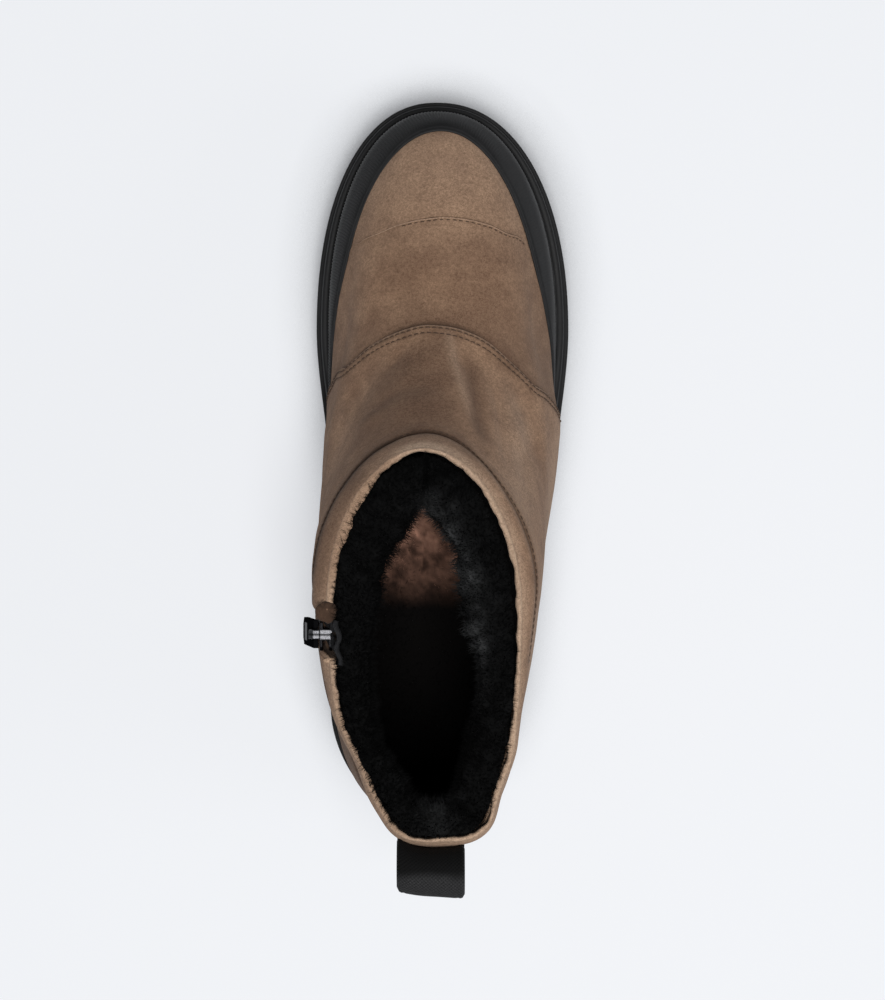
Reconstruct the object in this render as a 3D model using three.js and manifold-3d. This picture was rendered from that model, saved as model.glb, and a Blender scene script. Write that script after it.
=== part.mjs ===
// A right ankle boot of sheepskin: suede outside, fur inside, on a moulded rubber sole.
// Millimetres. +Y points to the toe, +X to the outer side of the foot, +Z up.
// While it is built, Y is measured from the heel end of the sole and Z from the floor.

import * as THREE from "three";
import { mergeVertices } from "three/addons/utils/BufferGeometryUtils.js";
import Module from "manifold-3d";

const wasm = await Module();
wasm.setup();

// ---------------------------------------------------------------- driving sizes
const SOLE_LENGTH = 298.4;
const GAP = 0.35; // between pieces that touch
const SIDE_STEPS = 26; // columns from heel to toe along one side
const HEEL_BREAST = 80; // where the heel block ends
const ARCH_END = 136;
const ARCH_HEIGHT = 6.5;
const LUG_DEPTH = 4.2;
const LUG_GAP = 4.5;
const LUG_PITCH = 17;
const RAND_THICKNESS = 2.4;
const RAND_EDGE = 1.0; // thickness of the rand at its upper edge
const INSOLE_HEIGHT = 8;
const ZIP_SLOT = { halfWidth: 7, depth: 3.4, low: 2.2 };
const ZIP_TOP_Y = 83.5;
const ZIP_FOOT_Y = 116;
const SLIDER = { x: -45.6, width: 12, length: 14, top: 164.5, plate: 1.2, space: 2.4 };
const PULL = { width: 10.4, length: 34, thickness: 1.8, barRadius: 0.9, tilt: 9 };
const LOOP = { width: 25, thickness: 2 };

// ---------------------------------------------------------------- the last, in tables
// Turns a list of column names and rows of numbers into a list of named records.
function rows(columns, numbers) {
  const names = columns.split(" ");
  return numbers.map((row) => Object.fromEntries(names.map((name, i) => [name, row[i]])));
}

// Height of the sole's upper face and of its tread along the foot.
const SOLE_SIDE = rows("y top tread", [
  [0, 33.5, 2.5],
  [14, 33.4, 0],
  [45, 33, 0],
  [110, 29.5, 0],
  [162, 26.5, 0],
  [205, 26, 0],
  [228, 26.7, 0.9],
  [250, 28.6, 3.4],
  [275, 31.8, 7.6],
  [300, 36, 13],
]);

// Stations along the foot at which widths are given.
const STATIONS = [15, 45, 110, 162, 205];

// Widths to the inner (In) and outer (Out) side of the straight axis X = 0 at those stations,
// the two ends of the ring, and the lengths and powers of its rounded ends.
const SOLE_RING = rows(
  "toe heel toeX heelX backIn backOut heelIn heelOut waistIn waistOut jointIn jointOut ballIn " +
    "ballOut toeCap toePower capIn powerIn capOut powerOut",
  [[SOLE_LENGTH, 0, -2.5, -5.4, 46.8, 29, 46.8, 31.6, 42, 41.2, 48.6, 48.6, 52.7, 52.7,
    95, 2.2, 52, 2, 38, 2]],
)[0];

// The upper's rings from the feather line to the collar. Rise is the height above the sole's
// upper face at the ring's toe end and heel end; wall is leather and fur together.
const PROFILE = rows("riseToe riseHeel toe heel toeX heelX wall", [
  [0, 0, 290.2, 5.0, -2.5, -5.4, 9],
  [12, 12, 289.8, 3.6, -2.3, -5.4, 9],
  [18, 19, 288.2, 3.0, -1.5, -5.3, 9],
  [24, 26, 285.0, 2.8, -0.8, -5.2, 9],
  [31, 35, 278.0, 2.8, -0.8, -5.1, 9],
  [38, 43, 266.0, 3.0, -1.2, -5.0, 9],
  [46, 51, 250.0, 3.5, -2.0, -4.9, 9],
  [55, 60, 229.0, 4.3, -3.0, -4.8, 9.5],
  [68, 73, 203.0, 5.8, -4.5, -4.7, 10.5],
  [81, 87, 188.0, 7.0, -5.5, -4.6, 11.5],
  [95, 102, 174.5, 7.6, -6.0, -4.5, 12.5],
  [111, 117, 161.5, 6.8, -6.2, -4.4, 13.5],
  [125, 130, 155.5, 5.8, -6.2, -4.3, 14.5],
  [136, 139, 152.3, 7.0, -6.1, -4.3, 15.5],
]);

const WIDTHS = rows("backIn backOut heelIn heelOut waistIn waistOut jointIn jointOut ballIn ballOut", [
  [42.0, 25.5, 42.0, 27.2, 38.0, 36.5, 43.5, 42.5, 44.5, 44.5],
  [43.0, 26.5, 43.0, 28.6, 41.5, 38.6, 46.0, 45.5, 44.3, 43.8],
  [43.3, 27.2, 43.3, 29.6, 43.3, 39.5, 46.8, 46.6, 42.8, 41.6],
  [43.5, 27.8, 43.5, 30.3, 44.8, 40.0, 47.2, 46.9, 40.6, 38.9],
  [43.6, 28.2, 43.6, 30.7, 46.4, 40.2, 47.2, 46.0, 38.0, 36.2],
  [43.7, 28.3, 43.7, 30.7, 47.6, 40.2, 46.7, 44.6, 36.8, 34.8],
  [43.8, 28.0, 43.8, 30.5, 48.5, 40.1, 45.6, 42.6, 35.4, 33.0],
  [43.9, 27.0, 43.9, 30.1, 49.0, 39.9, 44.5, 40.6, 33.5, 30.5],
  [43.9, 25.5, 43.9, 29.6, 49.2, 39.4, 42.5, 38.0, 32.0, 28.0],
  [41.5, 23.8, 43.3, 29.0, 49.0, 38.8, 41.5, 35.5, 33.0, 27.0],
  [36.5, 22.0, 42.0, 28.4, 48.8, 37.8, 42.5, 33.5, 36.0, 28.0],
  [29.5, 20.0, 40.3, 27.4, 49.0, 36.6, 46.0, 33.0, 40.0, 28.0],
  [24.5, 18.8, 37.8, 26.6, 48.5, 35.2, 46.5, 31.5, 41.0, 27.0],
  [22.5, 18.6, 37.4, 26.4, 43.0, 29.0, 42.0, 25.5, 38.0, 22.0],
]);

const ENDS = rows("toeCap toePower capIn powerIn capOut powerOut", [
  [88, 2.2, 50, 2, 36, 2],
  [88, 2.2, 54, 2, 37, 2],
  [86, 2.1, 56, 2, 38, 2],
  [84, 2, 58, 2, 38, 2],
  [80, 2, 58, 2, 38, 2],
  [77, 2, 58, 2, 38, 2],
  [74, 2, 58, 2, 37, 2],
  [72, 2, 58, 2, 34, 2],
  [74, 2, 58, 2, 30, 2],
  [69, 2, 54, 2, 24, 2.1],
  [63, 2, 44, 2, 18, 2.2],
  [60, 2, 32, 2, 15, 2.4],
  [60, 2, 22, 2, 16, 2.5],
  [60, 2, 17, 2.1, 16, 2.6],
]);

const LEVELS = PROFILE.map((row, i) => ({ ...row, ...WIDTHS[i], ...ENDS[i] }));
const RIM = LEVELS.length - 1;

// Top edge of the rand: its rise above the sole's upper face along the foot.
const RAND_TOP = rows("y rise", [
  [150, 3.5],
  [175, 6.5],
  [192, 11],
  [214, 19],
  [232, 23.5],
  [262, 26],
  [292, 27],
]);
const RAND_TAIL = { inner: 166, outer: 154 };

// ---------------------------------------------------------------- smooth functions
// A smooth curve through the points (xs, ys). Past both ends it stays level; with level ends
// it also leaves them level.
function smooth(xs, ys, x, levelEnds = false) {
  const last = xs.length - 1;
  const at = THREE.MathUtils.clamp(x, xs[0], xs[last]);
  let i = 0;
  while (i < last - 1 && at > xs[i + 1]) i += 1;
  const slope = (k) => {
    if (levelEnds && (k === 0 || k === last)) return 0;
    const [a, b] = [Math.max(k - 1, 0), Math.min(k + 1, last)];
    return (ys[b] - ys[a]) / (xs[b] - xs[a]);
  };
  const span = xs[i + 1] - xs[i];
  const u = (at - xs[i]) / span;
  const rise = u * u * (3 - 2 * u);
  const leave = slope(i) * span * u * (1 - u) * (1 - u);
  const arrive = slope(i + 1) * span * u * u * (u - 1);
  return ys[i] + (ys[i + 1] - ys[i]) * rise + leave + arrive;
}

const SOLE_Y = SOLE_SIDE.map((row) => row.y);
const soleTop = (y) => smooth(SOLE_Y, SOLE_SIDE.map((row) => row.top), y);
const treadCurve = (y) => smooth(SOLE_Y, SOLE_SIDE.map((row) => row.tread), y, true);
const tread = (y) => Math.max(treadCurve(y), 0);
const randRise = (y) => smooth(RAND_TOP.map((row) => row.y), RAND_TOP.map((row) => row.rise), y);

// A ring between two levels of the last.
const LEVEL_NUMBERS = LEVELS.map((_, i) => i);
const LEVEL_COLUMNS = Object.fromEntries(
  Object.keys(LEVELS[0]).map((key) => [key, LEVELS.map((row) => row[key])]),
);
const ringCache = new Map();
function ringAt(level) {
  if (!ringCache.has(level)) {
    const entries = Object.entries(LEVEL_COLUMNS);
    const ring = entries.map(([key, column]) => [key, smooth(LEVEL_NUMBERS, column, level)]);
    ringCache.set(level, Object.fromEntries(ring));
  }
  return ringCache.get(level);
}

// How far a rounded end has opened, from 0 at its tip to 1 where the side begins.
function endOpening(distance, length, power) {
  const u = THREE.MathUtils.clamp(distance / length, 0, 1);
  return (1 - (1 - u) ** power) ** (1 / power);
}

// A point of a ring in plan. The angle is 0 at the heel, half a turn at the toe, and runs
// forward along the outer side and back along the inner one. Inset shrinks the ring.
function planPoint(ring, angle, inset = 0) {
  const along = (1 - Math.cos(angle)) / 2;
  const outer = Math.sin(angle) >= 0;
  const side = outer ? "Out" : "In";
  const widths = ["back", "heel", "waist", "joint", "ball"].map((name) => ring[name + side] - inset);
  const [toe, heel] = [ring.toe - inset, ring.heel + inset];
  const y = heel + (toe - heel) * along;
  const middle = ring.heelX + (ring.toeX - ring.heelX) * along;
  const width = smooth(STATIONS, widths, y, true) + (outer ? -middle : middle);
  const toeEnd = endOpening(toe - y, ring.toeCap - inset, ring.toePower);
  const heelEnd = endOpening(y - heel, ring["cap" + side] - inset, ring["power" + side]);
  return [middle + (outer ? 1 : -1) * width * toeEnd * heelEnd, y];
}

// A point of the upper's outer surface.
function upperPoint(angle, level) {
  const ring = ringAt(level);
  const [x, y] = planPoint(ring, angle);
  const along = (1 - Math.cos(angle)) / 2;
  const rise = ring.riseHeel + (ring.riseToe - ring.riseHeel) * along;
  return new THREE.Vector3(x, y, soleTop(y) + rise);
}

// The outward direction of the upper's outer surface.
function upperNormal(angle, level) {
  const [a, l] = [0.02, 0.05];
  const [low, high] = [Math.max(level - l, 0), Math.min(level + l, RIM)];
  const around = upperPoint(angle + a, level).sub(upperPoint(angle - a, level));
  const up = upperPoint(angle, high).sub(upperPoint(angle, low));
  return around.cross(up).normalize();
}

// The upper's surface pushed out by a distance; a negative one goes into the wall.
function upperOffset(angle, level, distance) {
  return upperPoint(angle, level).addScaledVector(upperNormal(angle, level), distance);
}

// The angle at which a ring's side passes a given y. Side is 1 outside and -1 inside.
function angleAtY(level, y, side) {
  const ring = ringAt(level);
  const along = THREE.MathUtils.clamp((y - ring.heel) / (ring.toe - ring.heel), 0, 1);
  return side * Math.acos(1 - 2 * along);
}

// The angle next to the heel seam at which the surface is a given way off it across the foot.
function angleAtBack(level, across) {
  let [low, high] = [0, 1.2];
  const side = Math.sign(across) || 1;
  for (let i = 0; i < 24; i += 1) {
    const half = (low + high) / 2;
    const reach = Math.abs(upperPoint(side * half, level).x - ringAt(level).heelX);
    if (reach < Math.abs(across)) low = half;
    else high = half;
  }
  return (side * (low + high)) / 2;
}

// ---------------------------------------------------------------- solids
// A closed geometry from a grid of points: each row is a closed ring, and the last row joins
// the first one.
function torusOfRings(rings) {
  const count = rings[0].length;
  const positions = rings.flat().flatMap((p) => [p.x, p.y, p.z]);
  const index = [];
  rings.forEach((_, r) => {
    const next = (r + 1) % rings.length;
    for (let c = 0; c < count; c += 1) {
      const d = (c + 1) % count;
      index.push(r * count + c, r * count + d, next * count + d);
      index.push(r * count + c, next * count + d, next * count + c);
    }
  });
  return geometryOf(positions, index);
}

// A closed geometry from stacked rings, shut at both ends by bars across the foot. Point k of a
// ring lies straight across from point count - k.
function barredStack(rings) {
  const count = rings[0].length;
  const positions = rings.flat().flatMap((p) => [p.x, p.y, p.z]);
  const index = [];
  for (let r = 0; r < rings.length - 1; r += 1) {
    for (let c = 0; c < count; c += 1) {
      const d = (c + 1) % count;
      index.push(r * count + c, r * count + d, (r + 1) * count + d);
      index.push(r * count + c, (r + 1) * count + d, (r + 1) * count + c);
    }
  }
  const shut = (base, up) => {
    const face = (a, b, c) => index.push(...(up ? [a, b, c] : [a, c, b]).map((k) => base + (k % count)));
    for (let k = 0; k < count / 2; k += 1) {
      const [near, far] = [count - k, count - k - 1];
      if (k > 0) face(k, k + 1, near);
      if (far > k + 1) face(k + 1, far, near);
    }
  };
  shut(0, false);
  shut((rings.length - 1) * count, true);
  return geometryOf(positions, index);
}

// A closed geometry from a row of closed sections, shut by a fan at each end.
function tubeOfSections(sections) {
  const count = sections[0].length;
  const positions = sections.flat().flatMap((p) => [p.x, p.y, p.z]);
  const index = [];
  for (let s = 0; s < sections.length - 1; s += 1) {
    for (let c = 0; c < count; c += 1) {
      const d = (c + 1) % count;
      index.push(s * count + c, s * count + d, (s + 1) * count + d);
      index.push(s * count + c, (s + 1) * count + d, (s + 1) * count + c);
    }
  }
  const end = (sections.length - 1) * count;
  for (let c = 0; c < count / 2 - 1; c += 1) {
    const [a, b, far, near] = [c, c + 1, count - 2 - c, count - 1 - c];
    index.push(a, near, b, end + a, end + b, end + near);
    if (far > b) index.push(b, near, far, end + b, end + far, end + near);
  }
  return geometryOf(positions, index);
}

function geometryOf(positions, index) {
  const geometry = new THREE.BufferGeometry();
  geometry.setAttribute("position", new THREE.Float32BufferAttribute(positions, 3));
  geometry.setIndex(index);
  return geometry;
}

// A manifold solid of a closed geometry, turned right side out.
function solid(geometry) {
  const plain = geometry.clone();
  plain.deleteAttribute("normal");
  plain.deleteAttribute("uv");
  const merged = mergeVertices(plain, 1e-4);
  const build = (flip) => {
    const triVerts = new Uint32Array(merged.index.array);
    for (let i = 0; flip && i < triVerts.length; i += 3) {
      [triVerts[i + 1], triVerts[i + 2]] = [triVerts[i + 2], triVerts[i + 1]];
    }
    const vertProperties = new Float32Array(merged.attributes.position.array);
    return new wasm.Manifold(new wasm.Mesh({ numProp: 3, vertProperties, triVerts }));
  };
  const made = build(false);
  return made.volume() < 0 ? build(true) : made;
}

function geometryFrom(made) {
  const mesh = made.getMesh();
  return geometryOf(Array.from(mesh.vertProperties), Array.from(mesh.triVerts));
}

function piece(name, made, color, roughness, metalness = 0) {
  const material = new THREE.MeshStandardMaterial({ color, roughness, metalness });
  const mesh = new THREE.Mesh(geometryFrom(made), material);
  mesh.name = name;
  return mesh;
}

function box(x0, x1, y0, y1, z0, z1) {
  const shape = new THREE.BoxGeometry(x1 - x0, y1 - y0, z1 - z0);
  return solid(shape.translate((x0 + x1) / 2, (y0 + y1) / 2, (z0 + z1) / 2));
}

// An outline in the plane of Y and Z carried along X.
function acrossFoot(points, x0, x1) {
  const shape = new THREE.Shape(points.map(([y, z]) => new THREE.Vector2(y, z)));
  const geometry = new THREE.ExtrudeGeometry(shape, { depth: x1 - x0, bevelEnabled: false });
  const axes = new THREE.Matrix4().set(0, 0, 1, x0, 1, 0, 0, 0, 0, 1, 0, 0, 0, 0, 0, 1);
  return solid(geometry.applyMatrix4(axes));
}

const columnAngles = Array.from(
  { length: 2 * SIDE_STEPS },
  (_, i) => (Math.PI * i) / SIDE_STEPS,
);
const steps = (from, to, count) =>
  Array.from({ length: count + 1 }, (_, i) => from + ((to - from) * i) / count);

// ---------------------------------------------------------------- outsole
// Rings of the sole unit from the tread up: inset from the outline, and height above the tread
// (low ones) or below the upper face (high ones).
const SOLE_EDGE = rows("inset aboveTread belowTop", [
  [4.2, 0, null],
  [2.4, 0.6, null],
  [1.2, 5, null],
  [0.3, null, 13],
  [0, null, 6.5],
  [0.5, null, 4.4],
  [1.9, null, 3.9],
  [2.4, null, 1.2],
  [3.2, null, 0],
]);

function soleBody() {
  const rings = SOLE_EDGE.map((row) =>
    columnAngles.map((angle) => {
      const [x, y] = planPoint(SOLE_RING, angle, row.inset);
      const low = row.belowTop === null;
      return new THREE.Vector3(x, y, low ? tread(y) + row.aboveTread : soleTop(y) - row.belowTop);
    }),
  );
  return solid(barredStack(rings));
}

// The hollow under the waist, from the heel breast to the ball.
function archCut() {
  const back = [HEEL_BREAST, -1];
  const breast = [HEEL_BREAST + 2, ARCH_HEIGHT];
  const roof = steps(0, 1, 8).map((u) => {
    const y = HEEL_BREAST + 14 + (ARCH_END - HEEL_BREAST - 14) * u;
    return [y, ARCH_HEIGHT * Math.cos((u * Math.PI) / 2) ** 1.4 - (u === 1 ? 1 : 0)];
  });
  return acrossFoot([back, ...roof.reverse(), breast], -70, 70);
}

// One zigzag groove across the tread.
function lugGroove(y) {
  const [reach, bend] = [64, 7];
  const line = [-reach, -reach / 3, 0, reach / 3, reach].map((x, i) => [x, y + (i % 2 ? bend : 0)]);
  const front = line.map(([x, at]) => new THREE.Vector2(x, at + LUG_GAP / 2));
  const back = line.map(([x, at]) => new THREE.Vector2(x, at - LUG_GAP / 2)).reverse();
  const depth = tread(y + bend / 2) + LUG_DEPTH + 2;
  const shape = new THREE.Shape([...front, ...back]);
  const geometry = new THREE.ExtrudeGeometry(shape, { depth, bevelEnabled: false });
  return solid(geometry.translate(0, 0, -2));
}

function outsole() {
  const heelGrooves = [18, 35, 52].map(lugGroove);
  const count = Math.floor((SOLE_LENGTH - 10 - ARCH_END - 10) / LUG_PITCH);
  const ballGrooves = steps(0, count - 1, count - 1).map((i) => lugGroove(ARCH_END + 12 + i * LUG_PITCH));
  return [archCut(), ...heelGrooves, ...ballGrooves].reduce((body, cut) => body.subtract(cut), soleBody());
}

// ---------------------------------------------------------------- upper
const OUTER_LEVELS = [0, 0.5, 1, 1.5, 2, 2.5, 3, 3.5, 4, 4.5, 5, 5.5, 6, 6.5, 7, 7.5, 8, 8.5, 9,
  9.5, 10, 10.5, 11, 11.5, 12, 12.5, RIM];
const COLLAR_LEVEL = 11;
const INNER_LEVELS = [RIM, 12, 11, 10, 9, 8, 7, 6, 5, 4, 3, 2, 1, 0];

// The fur's rounded crown on the collar, from the suede's edge inwards.
const CROWN = rows("across lift", [
  [0.12, 2.2],
  [0.4, 3.6],
  [0.75, 2.4],
]);

// The inner face of the wall. It stands upright over the sole at the feather line, and at the
// collar the fur is measured straight across, because the suede's edge leans in there.
function innerPoint(angle, level) {
  const outer = upperPoint(angle, level);
  const inward = upperNormal(angle, level).negate();
  if (level < 1) inward.z = 0;
  if (level > COLLAR_LEVEL) inward.z *= (RIM - level) / (RIM - COLLAR_LEVEL);
  return outer.addScaledVector(inward.normalize(), ringAt(level).wall);
}

function upperShell() {
  const lift = (point) => point.setZ(point.z + GAP);
  const outside = OUTER_LEVELS.map((level) => columnAngles.map((angle) => lift(upperPoint(angle, level))));
  const crown = CROWN.map((row) =>
    columnAngles.map((angle) => {
      const edge = upperPoint(angle, RIM);
      const far = innerPoint(angle, RIM);
      const point = edge.lerp(far, row.across);
      return point.setZ(point.z + row.lift + GAP);
    }),
  );
  const inside = INNER_LEVELS.map((level) => columnAngles.map((angle) => lift(innerPoint(angle, level))));
  return solid(torusOfRings([...outside, ...crown, ...inside]));
}

// ---------------------------------------------------------------- zip
const zipY = (level) => {
  const share = (level - ZIP_SLOT.low) / (RIM - ZIP_SLOT.low);
  return ZIP_FOOT_Y + (ZIP_TOP_Y - ZIP_FOOT_Y) * share;
};

// A bar that follows the zip's line down the inner side. Its section is a list of
// [distance forward of the line, distance out of the suede].
function alongZip(section, levels, stretch = 0) {
  const sections = levels.map((level) =>
    section.map(([across, out]) => {
      const angle = angleAtY(level, zipY(level) + across, -1);
      const point = upperOffset(angle, level, out);
      return point.setZ(point.z + GAP);
    }),
  );
  if (stretch) sections.push(sections.at(-1).map((p) => p.clone().setZ(p.z + stretch)));
  return solid(tubeOfSections(sections));
}

const ZIP_LEVELS = steps(ZIP_SLOT.low, RIM, 18);

function zipSlot() {
  const { halfWidth: w, depth } = ZIP_SLOT;
  const section = [[-w, -depth], [-w, 6], [w, 6], [w, -depth]];
  return alongZip(section, ZIP_LEVELS, 8);
}

function sliderPocket() {
  const { x, width, length, top } = SLIDER;
  const half = width / 2 + 1;
  return box(x - 8, x + 5.6, ZIP_TOP_Y - half, ZIP_TOP_Y + half, top - length - 0.8, top + 20);
}

// Two tapes with the chain of teeth between them.
function zipChain() {
  const [tape, teeth] = [ZIP_SLOT.halfWidth - GAP, 3.6];
  const [bed, cloth, crest] = [-ZIP_SLOT.depth + GAP, -ZIP_SLOT.depth + 1.5, -0.3];
  const section = [
    [-tape, bed], [-tape, cloth], [-teeth, cloth], [-teeth + 0.4, crest],
    [teeth - 0.4, crest], [teeth, cloth], [tape, cloth], [tape, bed],
  ];
  const chain = alongZip(section, steps(ZIP_SLOT.low + 0.12, RIM - 1.05, 16));
  return chain.subtract(sliderPocket());
}

function zipSlider() {
  const { x, width, length, top, plate, space } = SLIDER;
  const half = width / 2;
  const shield = [[-half, -1], [-half, -6], [-half + 1.6, -length], [half - 1.6, -length],
    [half, -6], [half, -1], [half - 1.4, 0], [-half + 1.4, 0]]
    .map(([y, z]) => [ZIP_TOP_Y + y, top + z]);
  const front = acrossFoot(shield, x, x + plate);
  const back = acrossFoot(shield, x + plate + space, x + 2 * plate + space);
  const wedge = [[-2.2, 0], [0, -7], [2.2, 0]].map(([y, z]) => [ZIP_TOP_Y + y, top + z]);
  const neck = acrossFoot(wedge, x + plate / 2, x + plate * 1.5 + space);
  return [back, neck, sliderBridge()].reduce((all, part) => all.add(part), front);
}

// The arch on the slider under which the pull tab's bar turns.
function sliderBridge() {
  const { x, top } = SLIDER;
  const outline = [[0.5, -1.6], [-2.6, -1.6], [-4.1, -3], [-4.1, -9], [-2.6, -10.4], [0.5, -10.4],
    [0.5, -9.2], [-2.2, -9.2], [-3, -8.5], [-3, -3.5], [-2.2, -2.8], [0.5, -2.8]];
  const shape = new THREE.Shape(outline.map(([out, z]) => new THREE.Vector2(x + out, top + z)));
  const geometry = new THREE.ExtrudeGeometry(shape, { depth: 3.3, bevelEnabled: false });
  const axes = new THREE.Matrix4().set(1, 0, 0, 0, 0, 0, 1, ZIP_TOP_Y - 1.65, 0, 1, 0, 0, 0, 0, 0, 1);
  return solid(geometry.applyMatrix4(axes));
}

// The pull tab about its bar: modelled hanging straight down from the bar, then tilted out.
const PULL_AXIS = new THREE.Vector3(SLIDER.x - 1.6, ZIP_TOP_Y, SLIDER.top - 5.6);
function zipPull() {
  const { width, length, thickness, barRadius, tilt } = PULL;
  const half = width / 2;
  const outline = [[-half, 0.9], [half, 0.9], [half, -length + 3], [half - 2.6, -length],
    [-half + 2.6, -length], [-half, -length + 3]];
  const shape = new THREE.Shape(outline.map(([y, z]) => new THREE.Vector2(y, z)));
  const slot = [[-2.5, -7.6], [2.5, -7.6], [2.5, 2], [-2.5, 2]];
  const plate = new THREE.ExtrudeGeometry(shape, { depth: thickness, bevelEnabled: false });
  const upright = new THREE.Matrix4().set(0, 0, 1, -thickness / 2, 1, 0, 0, 0, 0, 1, 0, 0, 0, 0, 0, 1);
  const opening = acrossFoot(slot, -3, 3);
  const bar = solid(new THREE.CylinderGeometry(barRadius, barRadius, width - 2, 10));
  const tab = solid(plate.applyMatrix4(upright)).subtract(opening).add(bar);
  const turned = geometryFrom(tab).rotateY(THREE.MathUtils.degToRad(tilt));
  return solid(turned.translate(PULL_AXIS.x, PULL_AXIS.y, PULL_AXIS.z));
}

// ---------------------------------------------------------------- rand
// The rand's sections: they follow the upper's own columns and levels, from the sole's upper
// face to the rand's top edge, and thin out towards that edge.
function randSection(angle) {
  const y = upperPoint(angle, 1).y;
  const ring = (level) => upperPoint(angle, level).z - soleTop(upperPoint(angle, level).y);
  let top = 0.4;
  while (top < 5 && ring(top) < randRise(y)) top += 0.02;
  const levels = steps(0, 1, 8).map((share) => share * top);
  const outer = levels.map((level, i) => {
    const share = (i / 8) ** 2;
    const out = GAP + RAND_THICKNESS + (RAND_EDGE - RAND_THICKNESS) * share;
    return upperOffset(angle, level, out);
  });
  const inner = levels.map((level) => upperOffset(angle, level, GAP + 0.1));
  [outer[0], inner[0]].forEach((point) => point.setZ(soleTop(point.y)));
  return [...outer, ...inner.reverse()].map((point) => point.setZ(point.z + GAP));
}

function rand() {
  const inside = 2 * Math.PI + angleAtY(1, RAND_TAIL.inner, -1);
  const outside = angleAtY(1, RAND_TAIL.outer, 1);
  const between = columnAngles.filter((angle) => angle > outside + 0.03 && angle < inside - 0.03);
  const sections = [outside, ...between, inside].map(randSection);
  return solid(tubeOfSections(sections));
}

// ---------------------------------------------------------------- insole
const INSOLE_EDGE = rows("level inset lift", [
  [0, 1.6, 0],
  [0.02, 0.5, 0.9],
  [0.3, 0.5, 3.6],
  [0.5, 1.4, INSOLE_HEIGHT - 1.6],
  [0.6, 4.5, INSOLE_HEIGHT],
]);

function insole() {
  const rings = INSOLE_EDGE.map((row) =>
    columnAngles.map((angle) => {
      const ring = ringAt(row.level);
      const [x, y] = planPoint(ring, angle, ring.wall + row.inset + GAP);
      return new THREE.Vector3(x, y, soleTop(y) + GAP + row.lift);
    }),
  );
  return solid(barredStack(rings));
}

// ---------------------------------------------------------------- pull loop
// The band's inner line, from its lower end up: level of the upper it is beside, distance behind
// the suede, height above that level, and how much of the heel's roundness it keeps.
const LOOP_PATH = rows("level behind above round", [
  [10.4, 0, 0, 1],
  [10.9, 0, 0, 1],
  [11.3, 0.9, 0, 1],
  [11.7, 5.6, 0, 0.7],
  [12.1, 11.4, 0, 0.4],
  [12.5, 15.2, 0, 0.25],
  [12.85, 16.8, 0, 0.2],
  [RIM, 16.2, 2.6, 0.2],
  [RIM, 13.8, 5.2, 0.25],
  [RIM, 10.6, 6.4, 0.35],
  [RIM, 7.2, 5.6, 0.5],
  [RIM, 4.6, 3.0, 0.8],
  [RIM, 3.2, 0, 1],
  [12.7, 2.4, 0, 1],
  [12.45, 2.4, 0, 1],
]);

function loopBand(extra) {
  return LOOP_PATH.map((row) =>
    steps(-LOOP.width / 2, LOOP.width / 2, 6).map((across) => {
      const seam = upperPoint(0, row.level);
      const suede = upperPoint(angleAtBack(row.level, across), row.level);
      const back = seam.y + (suede.y - seam.y) * row.round;
      return new THREE.Vector3(seam.x + across, back - row.behind - extra, seam.z + row.above);
    }),
  );
}

// Gives a band of points its thickness, away from the line that it encloses.
function pullLoop() {
  const line = loopBand(GAP + 0.3);
  const thick = line.map((across, i) => {
    const [before, after] = [line[Math.max(i - 1, 0)], line[Math.min(i + 1, line.length - 1)]];
    return across.map((point, k) => {
      const along = after[k].clone().sub(before[k]);
      const away = new THREE.Vector3(0, -along.z, along.y).normalize();
      return point.clone().addScaledVector(away, LOOP.thickness);
    });
  });
  const sections = line.map((across, i) => [...across, ...thick[i].slice().reverse()]);
  return solid(tubeOfSections(sections));
}

// ---------------------------------------------------------------- the boot
const upper = upperShell().subtract(zipSlot()).subtract(sliderPocket());
const pieces = [
  piece("outsole", outsole(), 0x1b1b1c, 0.62),
  piece("rand", rand(), 0x303033, 0.6),
  piece("upper", upper, 0x8f7561, 0.95),
  piece("insole", insole(), 0x6e4534, 0.98),
  piece("zip_chain", zipChain(), 0x8c8f92, 0.4, 0.7),
  piece("zip_slider", zipSlider(), 0xc9ccd0, 0.22, 1),
  piece("zip_pull", zipPull(), 0x2a2b2d, 0.35, 0.8),
  piece("pull_loop", pullLoop(), 0x1a1a1a, 0.85),
];

// The origin is on the floor under the middle of the boot.
const boot = new THREE.Group();
boot.add(...pieces);
const bounds = new THREE.Box3().setFromObject(boot, true);
const middle = bounds.getCenter(new THREE.Vector3());
boot.position.set(-middle.x, -middle.y, -bounds.min.z);
const part = new THREE.Group();
part.add(boot);

export default part;
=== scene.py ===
import logging
import math
from dataclasses import dataclass, field
from enum import Enum
from typing import Any, Callable, Sequence

import bpy
import numpy as np
from bpy.types import Material, Node, NodeSocket, NodeTree, Object
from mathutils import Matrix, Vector
from numpy.typing import NDArray


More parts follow.
